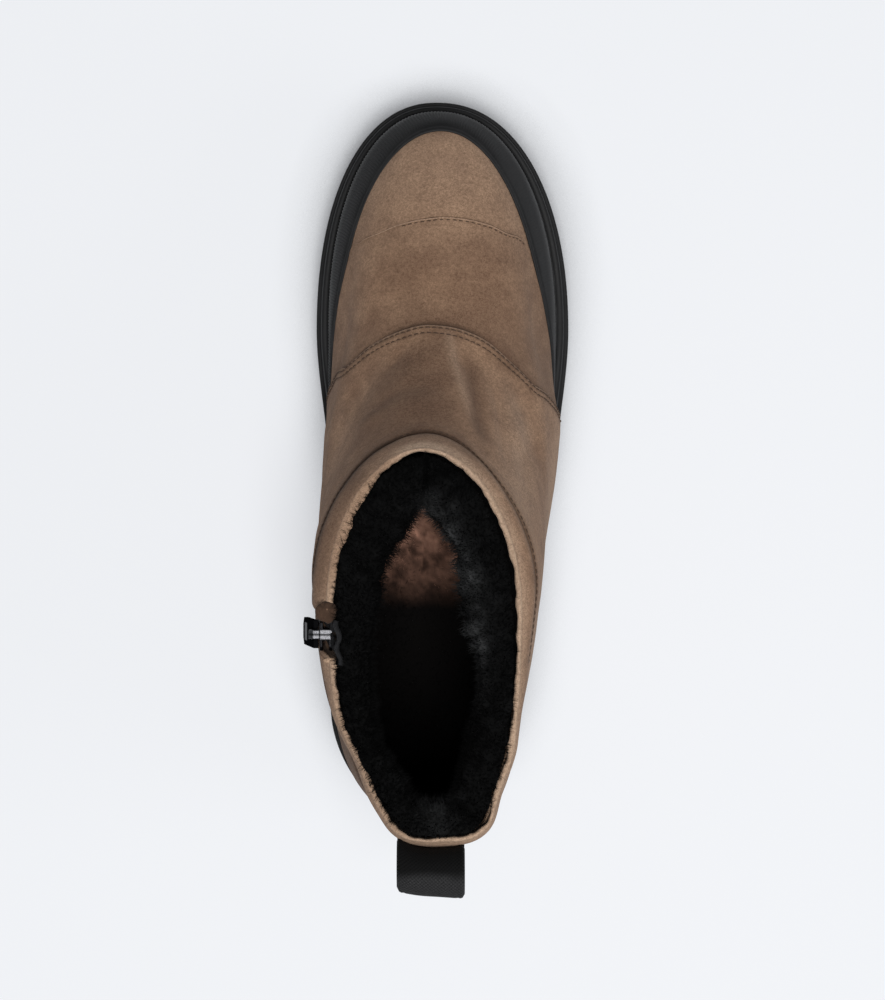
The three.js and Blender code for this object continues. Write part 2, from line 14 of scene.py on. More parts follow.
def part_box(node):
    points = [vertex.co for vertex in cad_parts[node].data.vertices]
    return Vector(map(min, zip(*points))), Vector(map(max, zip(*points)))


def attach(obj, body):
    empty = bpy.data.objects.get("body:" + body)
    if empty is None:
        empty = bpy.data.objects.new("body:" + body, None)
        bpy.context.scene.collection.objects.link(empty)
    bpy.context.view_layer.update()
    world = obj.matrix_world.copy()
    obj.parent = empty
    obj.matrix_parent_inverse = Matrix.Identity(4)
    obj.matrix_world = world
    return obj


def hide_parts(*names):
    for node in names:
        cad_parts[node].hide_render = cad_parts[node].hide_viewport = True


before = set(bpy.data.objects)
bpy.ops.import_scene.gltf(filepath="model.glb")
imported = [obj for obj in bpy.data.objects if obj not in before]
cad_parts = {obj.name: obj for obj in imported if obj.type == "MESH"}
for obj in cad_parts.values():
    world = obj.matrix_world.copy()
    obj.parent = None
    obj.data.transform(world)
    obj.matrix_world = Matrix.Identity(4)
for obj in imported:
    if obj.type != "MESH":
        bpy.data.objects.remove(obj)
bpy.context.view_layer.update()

# The dressed right ankle boot: suede panels, fur, fleece, rubber, zip and webbing.
# Tables are in millimetres in the boot's own axes: Y from the heel end of the sole, X from the
# straight axis and Z from the floor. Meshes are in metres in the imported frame.

LOG = logging.getLogger("boot")
Array = NDArray[np.float64]
MM = 0.001
RIM = 13.0
LIFT = 0.35  # gap under the upper, as packed


# ---------------------------------------------------------------- smooth functions
def smooth(xs: Sequence[float] | Array, ys: Sequence[float] | Array, x: Array | float,
           level_ends: bool = False) -> Array:
    """A cubic Hermite curve through points, with each slope taken across its two neighbours.

    Args:
        xs: Growing places of the points.
        ys: Their values; more axes than one hold a value for each item of x.
        x: Where the curve is read; past both ends it stays level.
        level_ends: Whether the curve leaves its two ends level.

    Returns:
        The curve's values.
    """
    xs, ys = np.asarray(xs, float), np.asarray(ys, float)
    x = np.clip(np.asarray(x, float), xs[0], xs[-1])
    last = len(xs) - 1
    here = np.clip(np.searchsorted(xs, x, side="left") - 1, 0, last - 1)
    order = np.arange(last + 1)
    before, after = np.maximum(order - 1, 0), np.minimum(order + 1, last)
    gaps = (xs[after] - xs[before]).reshape((-1,) + (1,) * (ys.ndim - 1))
    slopes = (ys[after] - ys[before]) / gaps
    if level_ends:
        slopes[0] = 0
        slopes[-1] = 0
    if ys.ndim == 1:
        low, high, leave, arrive = ys[here], ys[here + 1], slopes[here], slopes[here + 1]
    else:
        pick = [np.take_along_axis(t, (here + k)[None], 0)[0] for t in (ys, slopes) for k in (0, 1)]
        low, high, leave, arrive = pick
    span = xs[here + 1] - xs[here]
    u = (x - xs[here]) / span
    rise = (high - low) * u * u * (3 - 2 * u)
    return low + rise + leave * span * u * (1 - u) ** 2 + arrive * span * u * u * (u - 1)


def ease(x: Array | float, start: float, end: float) -> Array:
    """Goes from 0 at start to 1 at end along an S-shaped cubic."""
    u = np.clip((np.asarray(x, float) - start) / (end - start), 0, 1)
    return u * u * (3 - 2 * u)


def bump(distance: Array, width: float) -> Array:
    """A round bell: 1 at no distance, falling as exp(-(distance / width) squared)."""
    return np.exp(-((distance / width) ** 2))


def hashed(corner: Array, seed: int) -> Array:
    """A number from 0 to 1 for each whole-numbered corner, mixed from its three numbers."""
    c = corner.astype(np.int64)
    key = (c[..., 0] * 73856093) ^ (c[..., 1] * 19349663) ^ (c[..., 2] * 83492791)
    key = (key ^ (seed * 2654435761)) & 0x7FFFFFFF
    key = ((key ^ (key >> 13)) * 1274126177) & 0x7FFFFFFF
    key = ((key ^ (key >> 15)) * 668265263) & 0x7FFFFFFF
    return (key & 0xFFFFFF) / float(0xFFFFFF)


def lattice_noise(points: Array, cell: float, seed: int) -> Array:
    """Smooth noise from -1 to 1: random corner values blended along S-shaped cubics.

    Args:
        points: Places in space, with three numbers on the last axis.
        cell: Size of one lattice cell, in the same unit.
        seed: Chooses the random values.

    Returns:
        One value for each place.
    """
    scaled = points / cell
    corner = np.floor(scaled)
    part = scaled - corner
    part = part * part * (3 - 2 * part)
    total = np.zeros(points.shape[:-1])
    for step in np.ndindex(2, 2, 2):
        shares = np.where(np.array(step) == 1, part, 1 - part)
        total += hashed(corner + np.array(step), seed) * shares.prod(-1)
    return total * 2 - 1


def cells(points: Array, cell: float, seed: int) -> tuple[Array, Array, Array]:
    """Random cells, each round its own centre.

    Args:
        points: Places in space, with three numbers on the last axis.
        cell: Usual distance between two centres.
        seed: Chooses the centres.

    Returns:
        The distance to the nearest centre and to the second nearest, both as a share of the
        cell, and the nearest centre's place.
    """
    scaled = points / cell
    corner = np.floor(scaled)
    first = np.full(points.shape[:-1], 9.0)
    second = first.copy()
    centre = np.zeros_like(scaled)
    for step in np.ndindex(3, 3, 3):
        at = corner + np.array(step) - 1
        spot = at + np.stack([hashed(at, seed + k) for k in range(3)], -1)
        distance = np.linalg.norm(spot - scaled, axis=-1)
        nearer = distance < first
        second = np.where(nearer, first, np.minimum(second, distance))
        centre = np.where(nearer[..., None], spot, centre)
        first = np.where(nearer, distance, first)
    return first, second, centre * cell


def unit(vectors: Array) -> Array:
    """The same directions with length 1."""
    return vectors / np.maximum(np.linalg.norm(vectors, axis=-1, keepdims=True), 1e-12)


def travelled(path: Array) -> Array:
    """Distance travelled along a line at each of its points, from 0."""
    return np.concatenate([[0], np.cumsum(np.linalg.norm(np.diff(path, axis=0), axis=1))])


def gap_to(line: Array, points: Array) -> tuple[Array, Array]:
    """Distance from each point to a line of points, and how far along the line that is."""
    best = np.full(points.shape[:-1], 1e9)
    place = np.zeros_like(best)
    for k in range(len(line) - 1):
        start, run = line[k], line[k + 1] - line[k]
        share = np.clip(((points - start) @ run) / (run @ run), 0, 1)
        gap = np.linalg.norm(points - start - share[..., None] * run, axis=-1)
        place = np.where(gap < best, (k + share) / (len(line) - 1), place)
        best = np.minimum(best, gap)
    return best, place


# ---------------------------------------------------------------- meshes
def grid_faces(rows: int, columns: int, ring_rows: bool, ring_columns: bool) -> Array:
    """Quads between neighbouring points of a grid.

    Args:
        rows: How many rows.
        columns: How many columns.
        ring_rows: Whether the last row joins the first.
        ring_columns: Whether the last column joins the first.

    Returns:
        Four corner numbers for each quad.
    """
    r = np.arange(rows if ring_rows else rows - 1)
    c = np.arange(columns if ring_columns else columns - 1)
    r, c = np.meshgrid(r, c, indexing="ij")
    r1, c1 = (r + 1) % rows, (c + 1) % columns
    corners = [r * columns + c, r * columns + c1, r1 * columns + c1, r1 * columns + c]
    return np.stack([k.ravel() for k in corners], -1)


def copied(faces: Array, count: int, points: int) -> Array:
    """The faces of one small solid, again for each of many alike that follow one another."""
    base = (np.arange(count) * points)[:, None, None]
    return (faces + base).reshape(-1, faces.shape[1])


@dataclass
class Surface:
    """A grid of points that becomes a mesh, shut along its rows, its columns or both.

    Attributes:
        name: Name of the piece.
        points: Places in millimetres in the boot's axes, as rows, columns and 3.
        ring_rows: Whether the last row joins the first.
        ring_columns: Whether the last column joins the first.
        uv: A place on the piece for each point, as rows, columns and 2, in metres.
        masks: Named numbers for each point that materials read.
        caps: Whether the first and last rows are shut by a fan to their own middle.
    """

    name: str
    points: Array
    ring_rows: bool = False
    ring_columns: bool = False
    uv: Array | None = None
    masks: dict[str, Array] = field(default_factory=dict)
    caps: bool = False

    def build(self, shift: Array) -> Object:
        """Makes the object at the origin with its place in its mesh.

        Args:
            shift: What to add to bring the boot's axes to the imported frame, in millimetres.

        Returns:
            The new object, smooth shaded, with its faces pointing outwards.
        """
        rows, columns = self.points.shape[:2]
        points = self.points.reshape(-1, 3)
        quads = grid_faces(rows, columns, self.ring_rows, self.ring_columns)
        fans = np.zeros((0, 3), int)
        if self.caps:
            ends = [np.arange(columns), (rows - 1) * columns + np.arange(columns)]
            middles = np.array([points[e].mean(0) for e in ends])
            hub = len(points)
            points = np.concatenate([points, middles])
            low = np.stack([ends[0], np.full(columns, hub), np.roll(ends[0], -1)], -1)
            high = np.stack([ends[1], np.roll(ends[1], -1), np.full(columns, hub + 1)], -1)
            fans = np.concatenate([low, high])
        masks = {k: np.resize(v.reshape(-1), len(points)) for k, v in self.masks.items()}
        made = mesh_object(self.name, (points + shift) * MM, [quads, fans], masks)
        if self.uv is not None:
            flat = self.uv.reshape(-1, 2)
            loops = np.zeros(len(made.data.loops), np.int64)
            made.data.loops.foreach_get("vertex_index", loops)
            layer = made.data.uv_layers.new(name="UVMap")
            layer.data.foreach_set("uv", flat[np.minimum(loops, len(flat) - 1)].ravel())
        return made


def mesh_object(name: str, points: Array, groups: list[Array],
                masks: dict[str, Array] | None = None) -> Object:
    """Puts points and faces into a new smooth mesh whose faces point outwards.

    Faces without area are left out. The signed volume is the sum of each face's corners'
    triple products; where it is negative, every face is turned over.

    Args:
        name: Name of the piece.
        points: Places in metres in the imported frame.
        groups: Arrays of faces, each array with one number of corners.
        masks: Named numbers for each point.

    Returns:
        The object, linked to the scene.
    """
    kept = []
    for g in (g for g in groups if len(g)):
        spot = points[g]
        area = np.linalg.norm(np.cross(spot[:, 2] - spot[:, 0], spot[:, -1] - spot[:, 1]), axis=1)
        kept.append(g[area > 1e-14])
    volume = sum(
        np.einsum("ij,ij->i", points[g[:, 0]], np.cross(points[g[:, k]], points[g[:, k + 1]])).sum()
        for g in kept for k in range(1, g.shape[1] - 1))
    if volume < 0:
        kept = [g[:, ::-1] for g in kept]
    mesh = bpy.data.meshes.new(name)
    sizes = np.concatenate([np.full(len(g), g.shape[1]) for g in kept])
    corners = np.concatenate([g.ravel() for g in kept]).astype(np.int32)
    mesh.vertices.add(len(points))
    mesh.vertices.foreach_set("co", points.astype(np.float32).ravel())
    mesh.loops.add(len(corners))
    mesh.loops.foreach_set("vertex_index", corners)
    mesh.polygons.add(len(sizes))
    starts = np.concatenate([[0], np.cumsum(sizes)[:-1]]).astype(np.int32)
    mesh.polygons.foreach_set("loop_start", starts)
    mesh.polygons.foreach_set("use_smooth", np.ones(len(sizes), bool))
    for key, values in (masks or {}).items():
        layer = mesh.attributes.new(key, "FLOAT", "POINT")
        layer.data.foreach_set("value", values.astype(np.float32))
    mesh.update(calc_edges=True)
    made = bpy.data.objects.new(name, mesh)
    bpy.context.scene.collection.objects.link(made)
    return made


def spikes(name: str, roots: Array, middles: Array, tips: Array, widths: Array, tones: Array,
           shift: Array) -> Object:
    """Closed bent hairs: a triangle at the root, a thinner one at the bend and a point.

    Args:
        name: Name of the piece.
        roots: Where each hair starts, in millimetres.
        middles: Where it bends.
        tips: Where it ends.
        widths: Its radius at the root.
        tones: How light each hair is, for the material.
        shift: From the boot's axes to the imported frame.

    Returns:
        One object with all hairs.
    """
    along = unit(tips - roots)
    side = unit(np.cross(along, np.array([0.31, 0.57, 0.76])))
    other = np.cross(along, side)
    turns = np.arange(3) * 2 * math.pi / 3
    ring = side[:, None] * np.cos(turns)[:, None] + other[:, None] * np.sin(turns)[:, None]
    low = roots[:, None] + ring * widths[:, None, None]
    high = middles[:, None] + ring * widths[:, None, None] * 0.75
    points = np.concatenate([low, high, tips[:, None]], 1)
    k, n = np.arange(3), (np.arange(3) + 1) % 3
    sides = np.stack([k, n, n + 3, k + 3], -1)
    caps = np.concatenate([np.stack([k + 3, n + 3, np.full(3, 6)], -1), [[2, 1, 0]]])
    groups = [copied(faces, len(roots), 7) for faces in (sides, caps)]
    places = (points.reshape(-1, 3) + shift) * MM
    return mesh_object(name, places, groups, {"tone": np.repeat(tones, 7)})


def stitches(name: str, path: Array, normals: Array, shift: Array, pitch: float = 2.6,
             length: float = 2.0, radius: float = 0.24, sink: float = 0.3) -> Object:
    """A row of thread stitches along a path, each a rounded bead that dips at both ends.

    Args:
        name: Name of the piece.
        path: Points along the seam, in millimetres.
        normals: Outward directions there.
        shift: From the boot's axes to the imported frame.
        pitch: From one stitch to the next.
        length: Length of one stitch.
        radius: Radius of the thread.
        sink: How deep the ends dip.

    Returns:
        One object with all stitches.
    """
    far = travelled(path)
    at = np.arange(pitch / 2, far[-1], pitch)
    share = np.linspace(-0.5, 0.5, 6)
    places = at[:, None] + share * length
    spots = np.stack([np.interp(places, far, path[:, k]) for k in range(3)], -1)
    outs = unit(np.stack([np.interp(places, far, normals[:, k]) for k in range(3)], -1))
    spots = spots + outs * (radius * 0.5 - sink * (2 * share[:, None]) ** 4)
    along = unit(np.gradient(spots, axis=1))
    sides = unit(np.cross(along, outs))
    turns = np.arange(6) * math.pi / 3
    swell = radius * np.sqrt(np.clip(1 - (1.92 * share) ** 4, 0.04, 1))
    ring = sides[..., None, :] * np.cos(turns)[:, None] + outs[..., None, :] * np.sin(turns)[:, None]
    points = spots[..., None, :] + ring * swell[:, None, None]
    ends = np.array([[5, 4, 3, 2, 1, 0], [30, 31, 32, 33, 34, 35]])
    groups = [copied(faces, len(at), 36) for faces in (grid_faces(6, 6, False, True), ends)]
    return mesh_object(name, (points.reshape(-1, 3) + shift) * MM, groups)


# ---------------------------------------------------------------- the last
SOLE_SIDE = np.array([[0, 33.5, 2.5], [14, 33.4, 0], [45, 33, 0], [110, 29.5, 0], [162, 26.5, 0],
                      [205, 26, 0], [228, 26.7, 0.9], [250, 28.6, 3.4], [275, 31.8, 7.6],
                      [300, 36, 13]])
STATIONS = np.array([15, 45, 110, 162, 205.0])
# riseToe, riseHeel, toe, heel, toeX, heelX, wall
PROFILE = np.array([
    [0, 0, 290.2, 5, -2.5, -5.4, 9], [12, 12, 289.8, 3.6, -2.3, -5.4, 9],
    [18, 19, 288.2, 3, -1.5, -5.3, 9], [24, 26, 285, 2.8, -0.8, -5.2, 9],
    [31, 35, 278, 2.8, -0.8, -5.1, 9], [38, 43, 266, 3, -1.2, -5, 9],
    [46, 51, 250, 3.5, -2, -4.9, 9], [55, 60, 229, 4.3, -3, -4.8, 9.5],
    [68, 73, 203, 5.8, -4.5, -4.7, 10.5], [81, 87, 188, 7, -5.5, -4.6, 11.5],
    [95, 102, 174.5, 7.6, -6, -4.5, 12.5], [111, 117, 161.5, 6.8, -6.2, -4.4, 13.5],
    [125, 130, 155.5, 5.8, -6.2, -4.3, 14.5], [136, 139, 152.3, 7, -6.1, -4.3, 15.5]])
# inner side then outer side at the back, heel, waist, joint and ball
WIDTHS = np.array([
    [42, 42, 38, 43.5, 44.5, 25.5, 27.2, 36.5, 42.5, 44.5],
    [43, 43, 41.5, 46, 44.3, 26.5, 28.6, 38.6, 45.5, 43.8],
    [43.3, 43.3, 43.3, 46.8, 42.8, 27.2, 29.6, 39.5, 46.6, 41.6],
    [43.5, 43.5, 44.8, 47.2, 40.6, 27.8, 30.3, 40, 46.9, 38.9],
    [43.6, 43.6, 46.4, 47.2, 38, 28.2, 30.7, 40.2, 46, 36.2],
    [43.7, 43.7, 47.6, 46.7, 36.8, 28.3, 30.7, 40.2, 44.6, 34.8],
    [43.8, 43.8, 48.5, 45.6, 35.4, 28, 30.5, 40.1, 42.6, 33],
    [43.9, 43.9, 49, 44.5, 33.5, 27, 30.1, 39.9, 40.6, 30.5],
    [43.9, 43.9, 49.2, 42.5, 32, 25.5, 29.6, 39.4, 38, 28],
    [41.5, 43.3, 49, 41.5, 33, 23.8, 29, 38.8, 35.5, 27],
    [36.5, 42, 48.8, 42.5, 36, 22, 28.4, 37.8, 33.5, 28],
    [29.5, 40.3, 49, 46, 40, 20, 27.4, 36.6, 33, 28],
    [24.5, 37.8, 48.5, 46.5, 41, 18.8, 26.6, 35.2, 31.5, 27],
    [22.5, 37.4, 43, 42, 38, 18.6, 26.4, 29, 25.5, 22]])
# length and power of the rounded toe, of the heel's inner side and of its outer side
ENDS = np.array([
    [88, 2.2, 50, 2, 36, 2], [88, 2.2, 54, 2, 37, 2], [86, 2.1, 56, 2, 38, 2], [84, 2, 58, 2, 38, 2],
    [80, 2, 58, 2, 38, 2], [77, 2, 58, 2, 38, 2], [74, 2, 58, 2, 37, 2], [72, 2, 58, 2, 34, 2],
    [74, 2, 58, 2, 30, 2], [69, 2, 54, 2, 24, 2.1], [63, 2, 44, 2, 18, 2.2], [60, 2, 32, 2, 15, 2.4],
    [60, 2, 22, 2, 16, 2.5], [60, 2, 17, 2.1, 16, 2.6]])
LEVELS = np.arange(len(PROFILE))


def opening(distance: Array, length: Array | float, power: Array | float) -> Array:
    """How far a rounded end has opened: (1 - (1 - d / length) ** p) ** (1 / p)."""
    u = np.clip(distance / length, 0, 1)
    return (1 - (1 - u) ** power) ** (1 / power)


@dataclass(frozen=True)
class Last:
    """The upper's outer surface, by a turn round the foot and a level up it.

    The turn is 0 at the toe, runs back along the outer side to half a turn at the heel, and
    is negative on the inner side. The level is 0 at the feather line and 13 at the collar.

    Attributes:
        shift: From the boot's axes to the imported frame, in millimetres.
    """

    shift: Array

    @classmethod
    def packed(cls) -> "Last":
        """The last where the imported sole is: its heel end is Y 0 and its outer side X 52.7."""
        low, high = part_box("outsole")
        return cls(np.array([high.x / MM - 52.7, low.y / MM, 0.0]))

    def sole_top(self, y: Array) -> Array:
        """Height of the sole's upper face at a place along the foot."""
        return smooth(SOLE_SIDE[:, 0], SOLE_SIDE[:, 1], y)

    def wall(self, level: Array | float) -> Array:
        """Leather and fur together at a level."""
        return smooth(LEVELS, PROFILE[:, 6], level)

    def plan(self, turn: Array, ring: Sequence[Array], inset: Array | float = 0) -> tuple[Array, Array]:
        """A point of one ring seen from above.

        Y goes from heel to toe as (1 + cos turn) / 2. X is the middle line plus the side's
        width there, closed at both ends by rounded openings.

        Args:
            turn: Turn round the foot.
            ring: The ring's toe, heel, toe X, heel X, ten widths and six end numbers.
            inset: How far the ring is drawn in.

        Returns:
            X and Y.
        """
        toe, heel, toe_x, heel_x = ring[0] - inset, ring[1] + inset, ring[2], ring[3]
        inner, outer = ring[4:9], ring[9:14]
        along = (1 + np.cos(turn)) / 2
        right = np.sin(turn) >= 0
        y = heel + (toe - heel) * along
        middle = heel_x + (toe_x - heel_x) * along
        side = np.stack([np.broadcast_to(np.where(right, o, i) - inset, y.shape)
                         for i, o in zip(inner, outer)])
        width = smooth(STATIONS, side, y, True) + np.where(right, -middle, middle)
        cap, power = (np.where(right, ring[k + 2], ring[k]) for k in (16, 17))
        ends = opening(toe - y, ring[14] - inset, ring[15]) * opening(y - heel, cap - inset, power)
        return middle + np.where(right, 1, -1) * width * ends, y

    def point(self, turn: Array | float, level: Array | float) -> Array:
        """A point of the upper's outer surface."""
        turn, level = np.broadcast_arrays(np.asarray(turn, float), np.asarray(level, float))
        shape = [smooth(LEVELS, PROFILE[:, c], level) for c in range(6)]
        widths = [smooth(LEVELS, WIDTHS[:, c], level) for c in range(10)]
        ends = [smooth(LEVELS, ENDS[:, c], level) for c in range(6)]
        x, y = self.plan(turn, [*shape[2:], *widths, *ends])
        along = (1 + np.cos(turn)) / 2
        z = self.sole_top(y) + shape[1] + (shape[0] - shape[1]) * along + LIFT
        return np.stack([x, y, z], -1)

    def normal(self, turn: Array | float, level: Array | float) -> Array:
        """The outward direction: the slope round the foot crossed with the slope up it."""
        turn, level = np.broadcast_arrays(np.asarray(turn, float), np.asarray(level, float))
        low, high = np.maximum(level - 0.05, 0), np.minimum(level + 0.05, RIM)
        around = self.point(turn - 0.02, level) - self.point(turn + 0.02, level)
        return unit(np.cross(around, self.point(turn, high) - self.point(turn, low)))

    def offset(self, turn: Array | float, level: Array | float, out: Array | float) -> Array:
        """The surface pushed out by a distance."""
        out = np.asarray(out, float)
        return self.point(turn, level) + self.normal(turn, level) * out[..., None]

    def inner(self, turn: Array, level: Array, depth: Array | float) -> Array:
        """A point inside the wall, measured inwards, and straight across at the collar."""
        turn, level = np.broadcast_arrays(np.asarray(turn, float), np.asarray(level, float))
        inward = -self.normal(turn, level)
        flat = np.where(level < 1, 0.0, np.where(level > 11, (RIM - level) / 2, 1.0))
        inward[..., 2] *= flat
        return self.point(turn, level) + unit(inward) * np.asarray(depth, float)[..., None]

    def turn_at(self, level: Array, y: Array, side: int) -> Array:
        """The turn at which a ring passes a given Y on the outer (1) or inner (-1) side."""
        toe, heel = (smooth(LEVELS, PROFILE[:, c], level) for c in (2, 3))
        along = np.clip((y - heel) / (toe - heel), 0, 1)
        return side * np.arccos(2 * along - 1)


@dataclass(frozen=True)
class Line:
    """A line on the last: its level at each turn round the foot."""

    turns: tuple[float, ...]
    levels: tuple[float, ...]

    def level(self, turn: Array) -> Array:
        """The line's level at a turn."""
        return smooth(self.turns, self.levels, turn)


VAMP_SEAM = Line(
    (-1.52, -1.42, -1.34, -1.27, -1.08, -0.93, -0.78, -0.53, -0.25, 0.04, 0.28, 0.57, 0.87, 1.05, 1.24,
     1.36, 1.45, 1.54),
    (-0.6, 0.7, 2.2, 3.7, 5.9, 6.7, 7.15, 7.62, 7.95, 8.05, 7.93, 7.62, 7.2, 6.65, 5.2, 3.6, 1.7, -0.6))
COLLAR_SEAM = Line(
    (-math.pi, -2.2, -1.5, -1.32, -1.15, -0.95, -0.77, -0.58, -0.4, -0.23, 0.0, 0.19, 0.37, 0.58, 0.96,
     1.3, 2.2, math.pi),
    (11.95, 11.8, 11.65, 11.76, 11.93, 11.87, 11.78, 11.61, 11.51, 11.52, 11.4, 11.5, 11.77, 12.05, 12.15,
     12.1, 12.0, 11.95))
TOE_SEAM = Line(
    (-1.05, -0.95, -0.833, -0.772, -0.589, -0.375, -0.153, 0.044, 0.257, 0.458, 0.659, 0.82, 0.93, 1.05),
    (1.2, 2.2, 3.4, 4.17, 5.28, 5.9, 6.18, 6.2, 6.03, 5.62, 4.85, 3.5, 2.3, 1.2))


@dataclass(frozen=True)
class Crease:
    """A soft fold across the suede, as a line of turn and level.

    Attributes:
        path: Turn and level of its points.
        width: Half width of the trough, in millimetres.
        depth: How deep it goes; a ridge is negative.
    """

    path: tuple[tuple[float, float], ...]
    width: float
    depth: float

    def push(self, last: Last, points: Array) -> Array:
        """How far it pushes each point out: the depth times a bell of the distance to it."""
        knots = np.array(self.path)
        t = np.linspace(0, 1, 12)
        order = np.linspace(0, 1, len(knots))
        line = last.point(smooth(order, knots[:, 0], t), smooth(order, knots[:, 1], t))
        best, place = gap_to(line, points)
        fade = ease(place, 0, 0.25) * (1 - ease(place, 0.75, 1))
        return -self.depth * bump(best, self.width) * fade


# ---------------------------------------------------------------- node boards
class Board:
    """A node tree being laid out: adds nodes and links them to one another."""

    def __init__(self, tree: NodeTree) -> None:
        """Starts on an empty or ready tree."""
        self.tree = tree

    def add(self, kind: str, inputs: dict[Any, Any] | None = None, **settings: Any) -> Node:
        """Adds a node.

        Args:
            kind: Blender's name of the node type.
            inputs: Values or sockets for its inputs, by name or number.
            settings: The node's own properties.

        Returns:
            The node.
        """
        node = self.tree.nodes.new(kind)
        for key, value in settings.items():
            setattr(node, key, value)
        return self.feed(node, inputs or {})

    def feed(self, node: Node, inputs: dict[Any, Any]) -> Node:
        """Gives a node's inputs, by name or number, their values or links; returns the node."""
        for key, value in inputs.items():
            if isinstance(value, NodeSocket):
                self.tree.links.new(value, node.inputs[key])
            else:
                node.inputs[key].default_value = value
        return node

    def math(self, operation: str, *values: Any) -> NodeSocket:
        """One arithmetic step on sockets or numbers."""
        return self.add("ShaderNodeMath", dict(enumerate(values)), operation=operation).outputs[0]

    def ramp(self, value: Any, low: float, high: float, to_low: float = 0, to_high: float = 1) -> Any:
        """Carries a value from one range to another, and stops at its ends."""
        node = self.add("ShaderNodeMapRange", {"Value": value, "From Min": low, "From Max": high,
                                               "To Min": to_low, "To Max": to_high})
        return node.outputs["Result"]

    def blend(self, share: Any, first: Any, second: Any, kind: str = "MIX") -> NodeSocket:
        """A colour between two, by a share, in one of Blender's ways of blending."""
        mix = self.add("ShaderNodeMix", {0: share, 6: first, 7: second}, data_type="RGBA", blend_type=kind)
        return mix.outputs[2]

    def noise(self, vector: Any, scale: float, detail: float = 2, rough: float = 0.5,
              bend: float = 0) -> NodeSocket:
        """Noise from 0 to 1 at a scale in turns per metre."""
        return self.add("ShaderNodeTexNoise", {"Vector": vector, "Scale": scale, "Detail": detail,
                                               "Roughness": rough, "Distortion": bend}).outputs[0]

    def attribute(self, name: str) -> NodeSocket:
        """A named number of the mesh."""
        return self.add("ShaderNodeAttribute", attribute_name=name).outputs["Fac"]

    def place(self) -> NodeSocket:
        """Object coordinates."""
        return self.add("ShaderNodeTexCoord").outputs["Object"]

    def bumped(self, height: Any, distance: float, strength: float = 1) -> NodeSocket:
        """A normal from a height in metres."""
        return self.add("ShaderNodeBump", {"Height": height, "Distance": distance,
                                           "Strength": strength}).outputs[0]


def node_group(name: str, numbers: Sequence[str], outputs: Sequence[str],
               lay: Callable[[Board, Any], Sequence[Any]]) -> NodeTree:
    """A shader node group that reads a place and numbers, and gives numbers.

    Args:
        name: Its name.
        numbers: Names of its number inputs.
        outputs: Names of its number outputs.
        lay: Lays out the inside on a board, from the group's inputs, and returns what it gives.

    Returns:
        The group.
    """
    tree = bpy.data.node_groups.new(name, "ShaderNodeTree")
    tree.interface.new_socket("Place", in_out="INPUT", socket_type="NodeSocketVector")
    for way, keys in (("INPUT", numbers), ("OUTPUT", outputs)):
        for key in keys:
            tree.interface.new_socket(key, in_out=way, socket_type="NodeSocketFloat")
    board = Board(tree)
    given = lay(board, board.add("NodeGroupInput").outputs)
    board.add("NodeGroupOutput", dict(zip(outputs, given)))
    return tree


@dataclass
class Effects:
    """The node groups that more than one material or node uses.

    Attributes:
        nap: Fine fibres and two sizes of soft cloud, for suede, fur and fleece.
        grain: Moulded rubber's fine grain and dust.
        weave: Threads crossing along a piece's own UV map.
        smooth: A geometry group that shades all faces smooth.
    """

    nap: NodeTree
    grain: NodeTree
    weave: NodeTree
    smooth: NodeTree

    @classmethod
    def made(cls) -> "Effects":
        """Builds the four groups."""

        def nap(b: Board, given: Any) -> tuple[Any, ...]:
            """Two scales of fibre mixed, then two scales of cloud."""
            place = given["Place"]
            fine, tuft = b.noise(place, 2600, 3, 0.7), b.noise(place, 900, 3, 0.65, 0.6)
            fibre = b.math("ADD", b.math("MULTIPLY", fine, 0.55), b.math("MULTIPLY", tuft, 0.45))
            return fibre, b.noise(place, 95, 4, 0.6, 0.4), b.noise(place, 26, 3, 0.55)

        def grain(b: Board, given: Any) -> tuple[Any, ...]:
            """Fine pits, then a slow cloud of dust."""
            return b.noise(given["Place"], 1900, 4, 0.6), b.noise(given["Place"], 60, 5, 0.65, 0.3)

        def weave(b: Board, given: Any) -> tuple[Any, ...]:
            """Two crossed rows of threads: the product of two sine waves."""
            parts = b.add("ShaderNodeSeparateXYZ", {0: given["Place"]}).outputs
            turns = [b.math("MULTIPLY", parts[k], b.math("MULTIPLY", given[n], math.tau))
                     for k, n in enumerate(("Across", "Along"))]
            return (b.math("MULTIPLY", *(b.math("SINE", t) for t in turns)),)

        smooth_faces = bpy.data.node_groups.new("Smooth shading", "GeometryNodeTree")
        for way in ("INPUT", "OUTPUT"):
            smooth_faces.interface.new_socket("Geometry", in_out=way, socket_type="NodeSocketGeometry")
        board = Board(smooth_faces)
        shaded = board.add("GeometryNodeSetShadeSmooth",
                           {"Geometry": board.add("NodeGroupInput").outputs[0], "Shade Smooth": True})
        board.add("NodeGroupOutput", {"Geometry": shaded.outputs[0]})
        return cls(node_group("Nap", (), ("Fibre", "Cloud", "Drift"), nap),
                   node_group("Moulded grain", (), ("Pits", "Cloud"), grain),
                   node_group("Weave", ("Across", "Along"), ("Cross",), weave), smooth_faces)


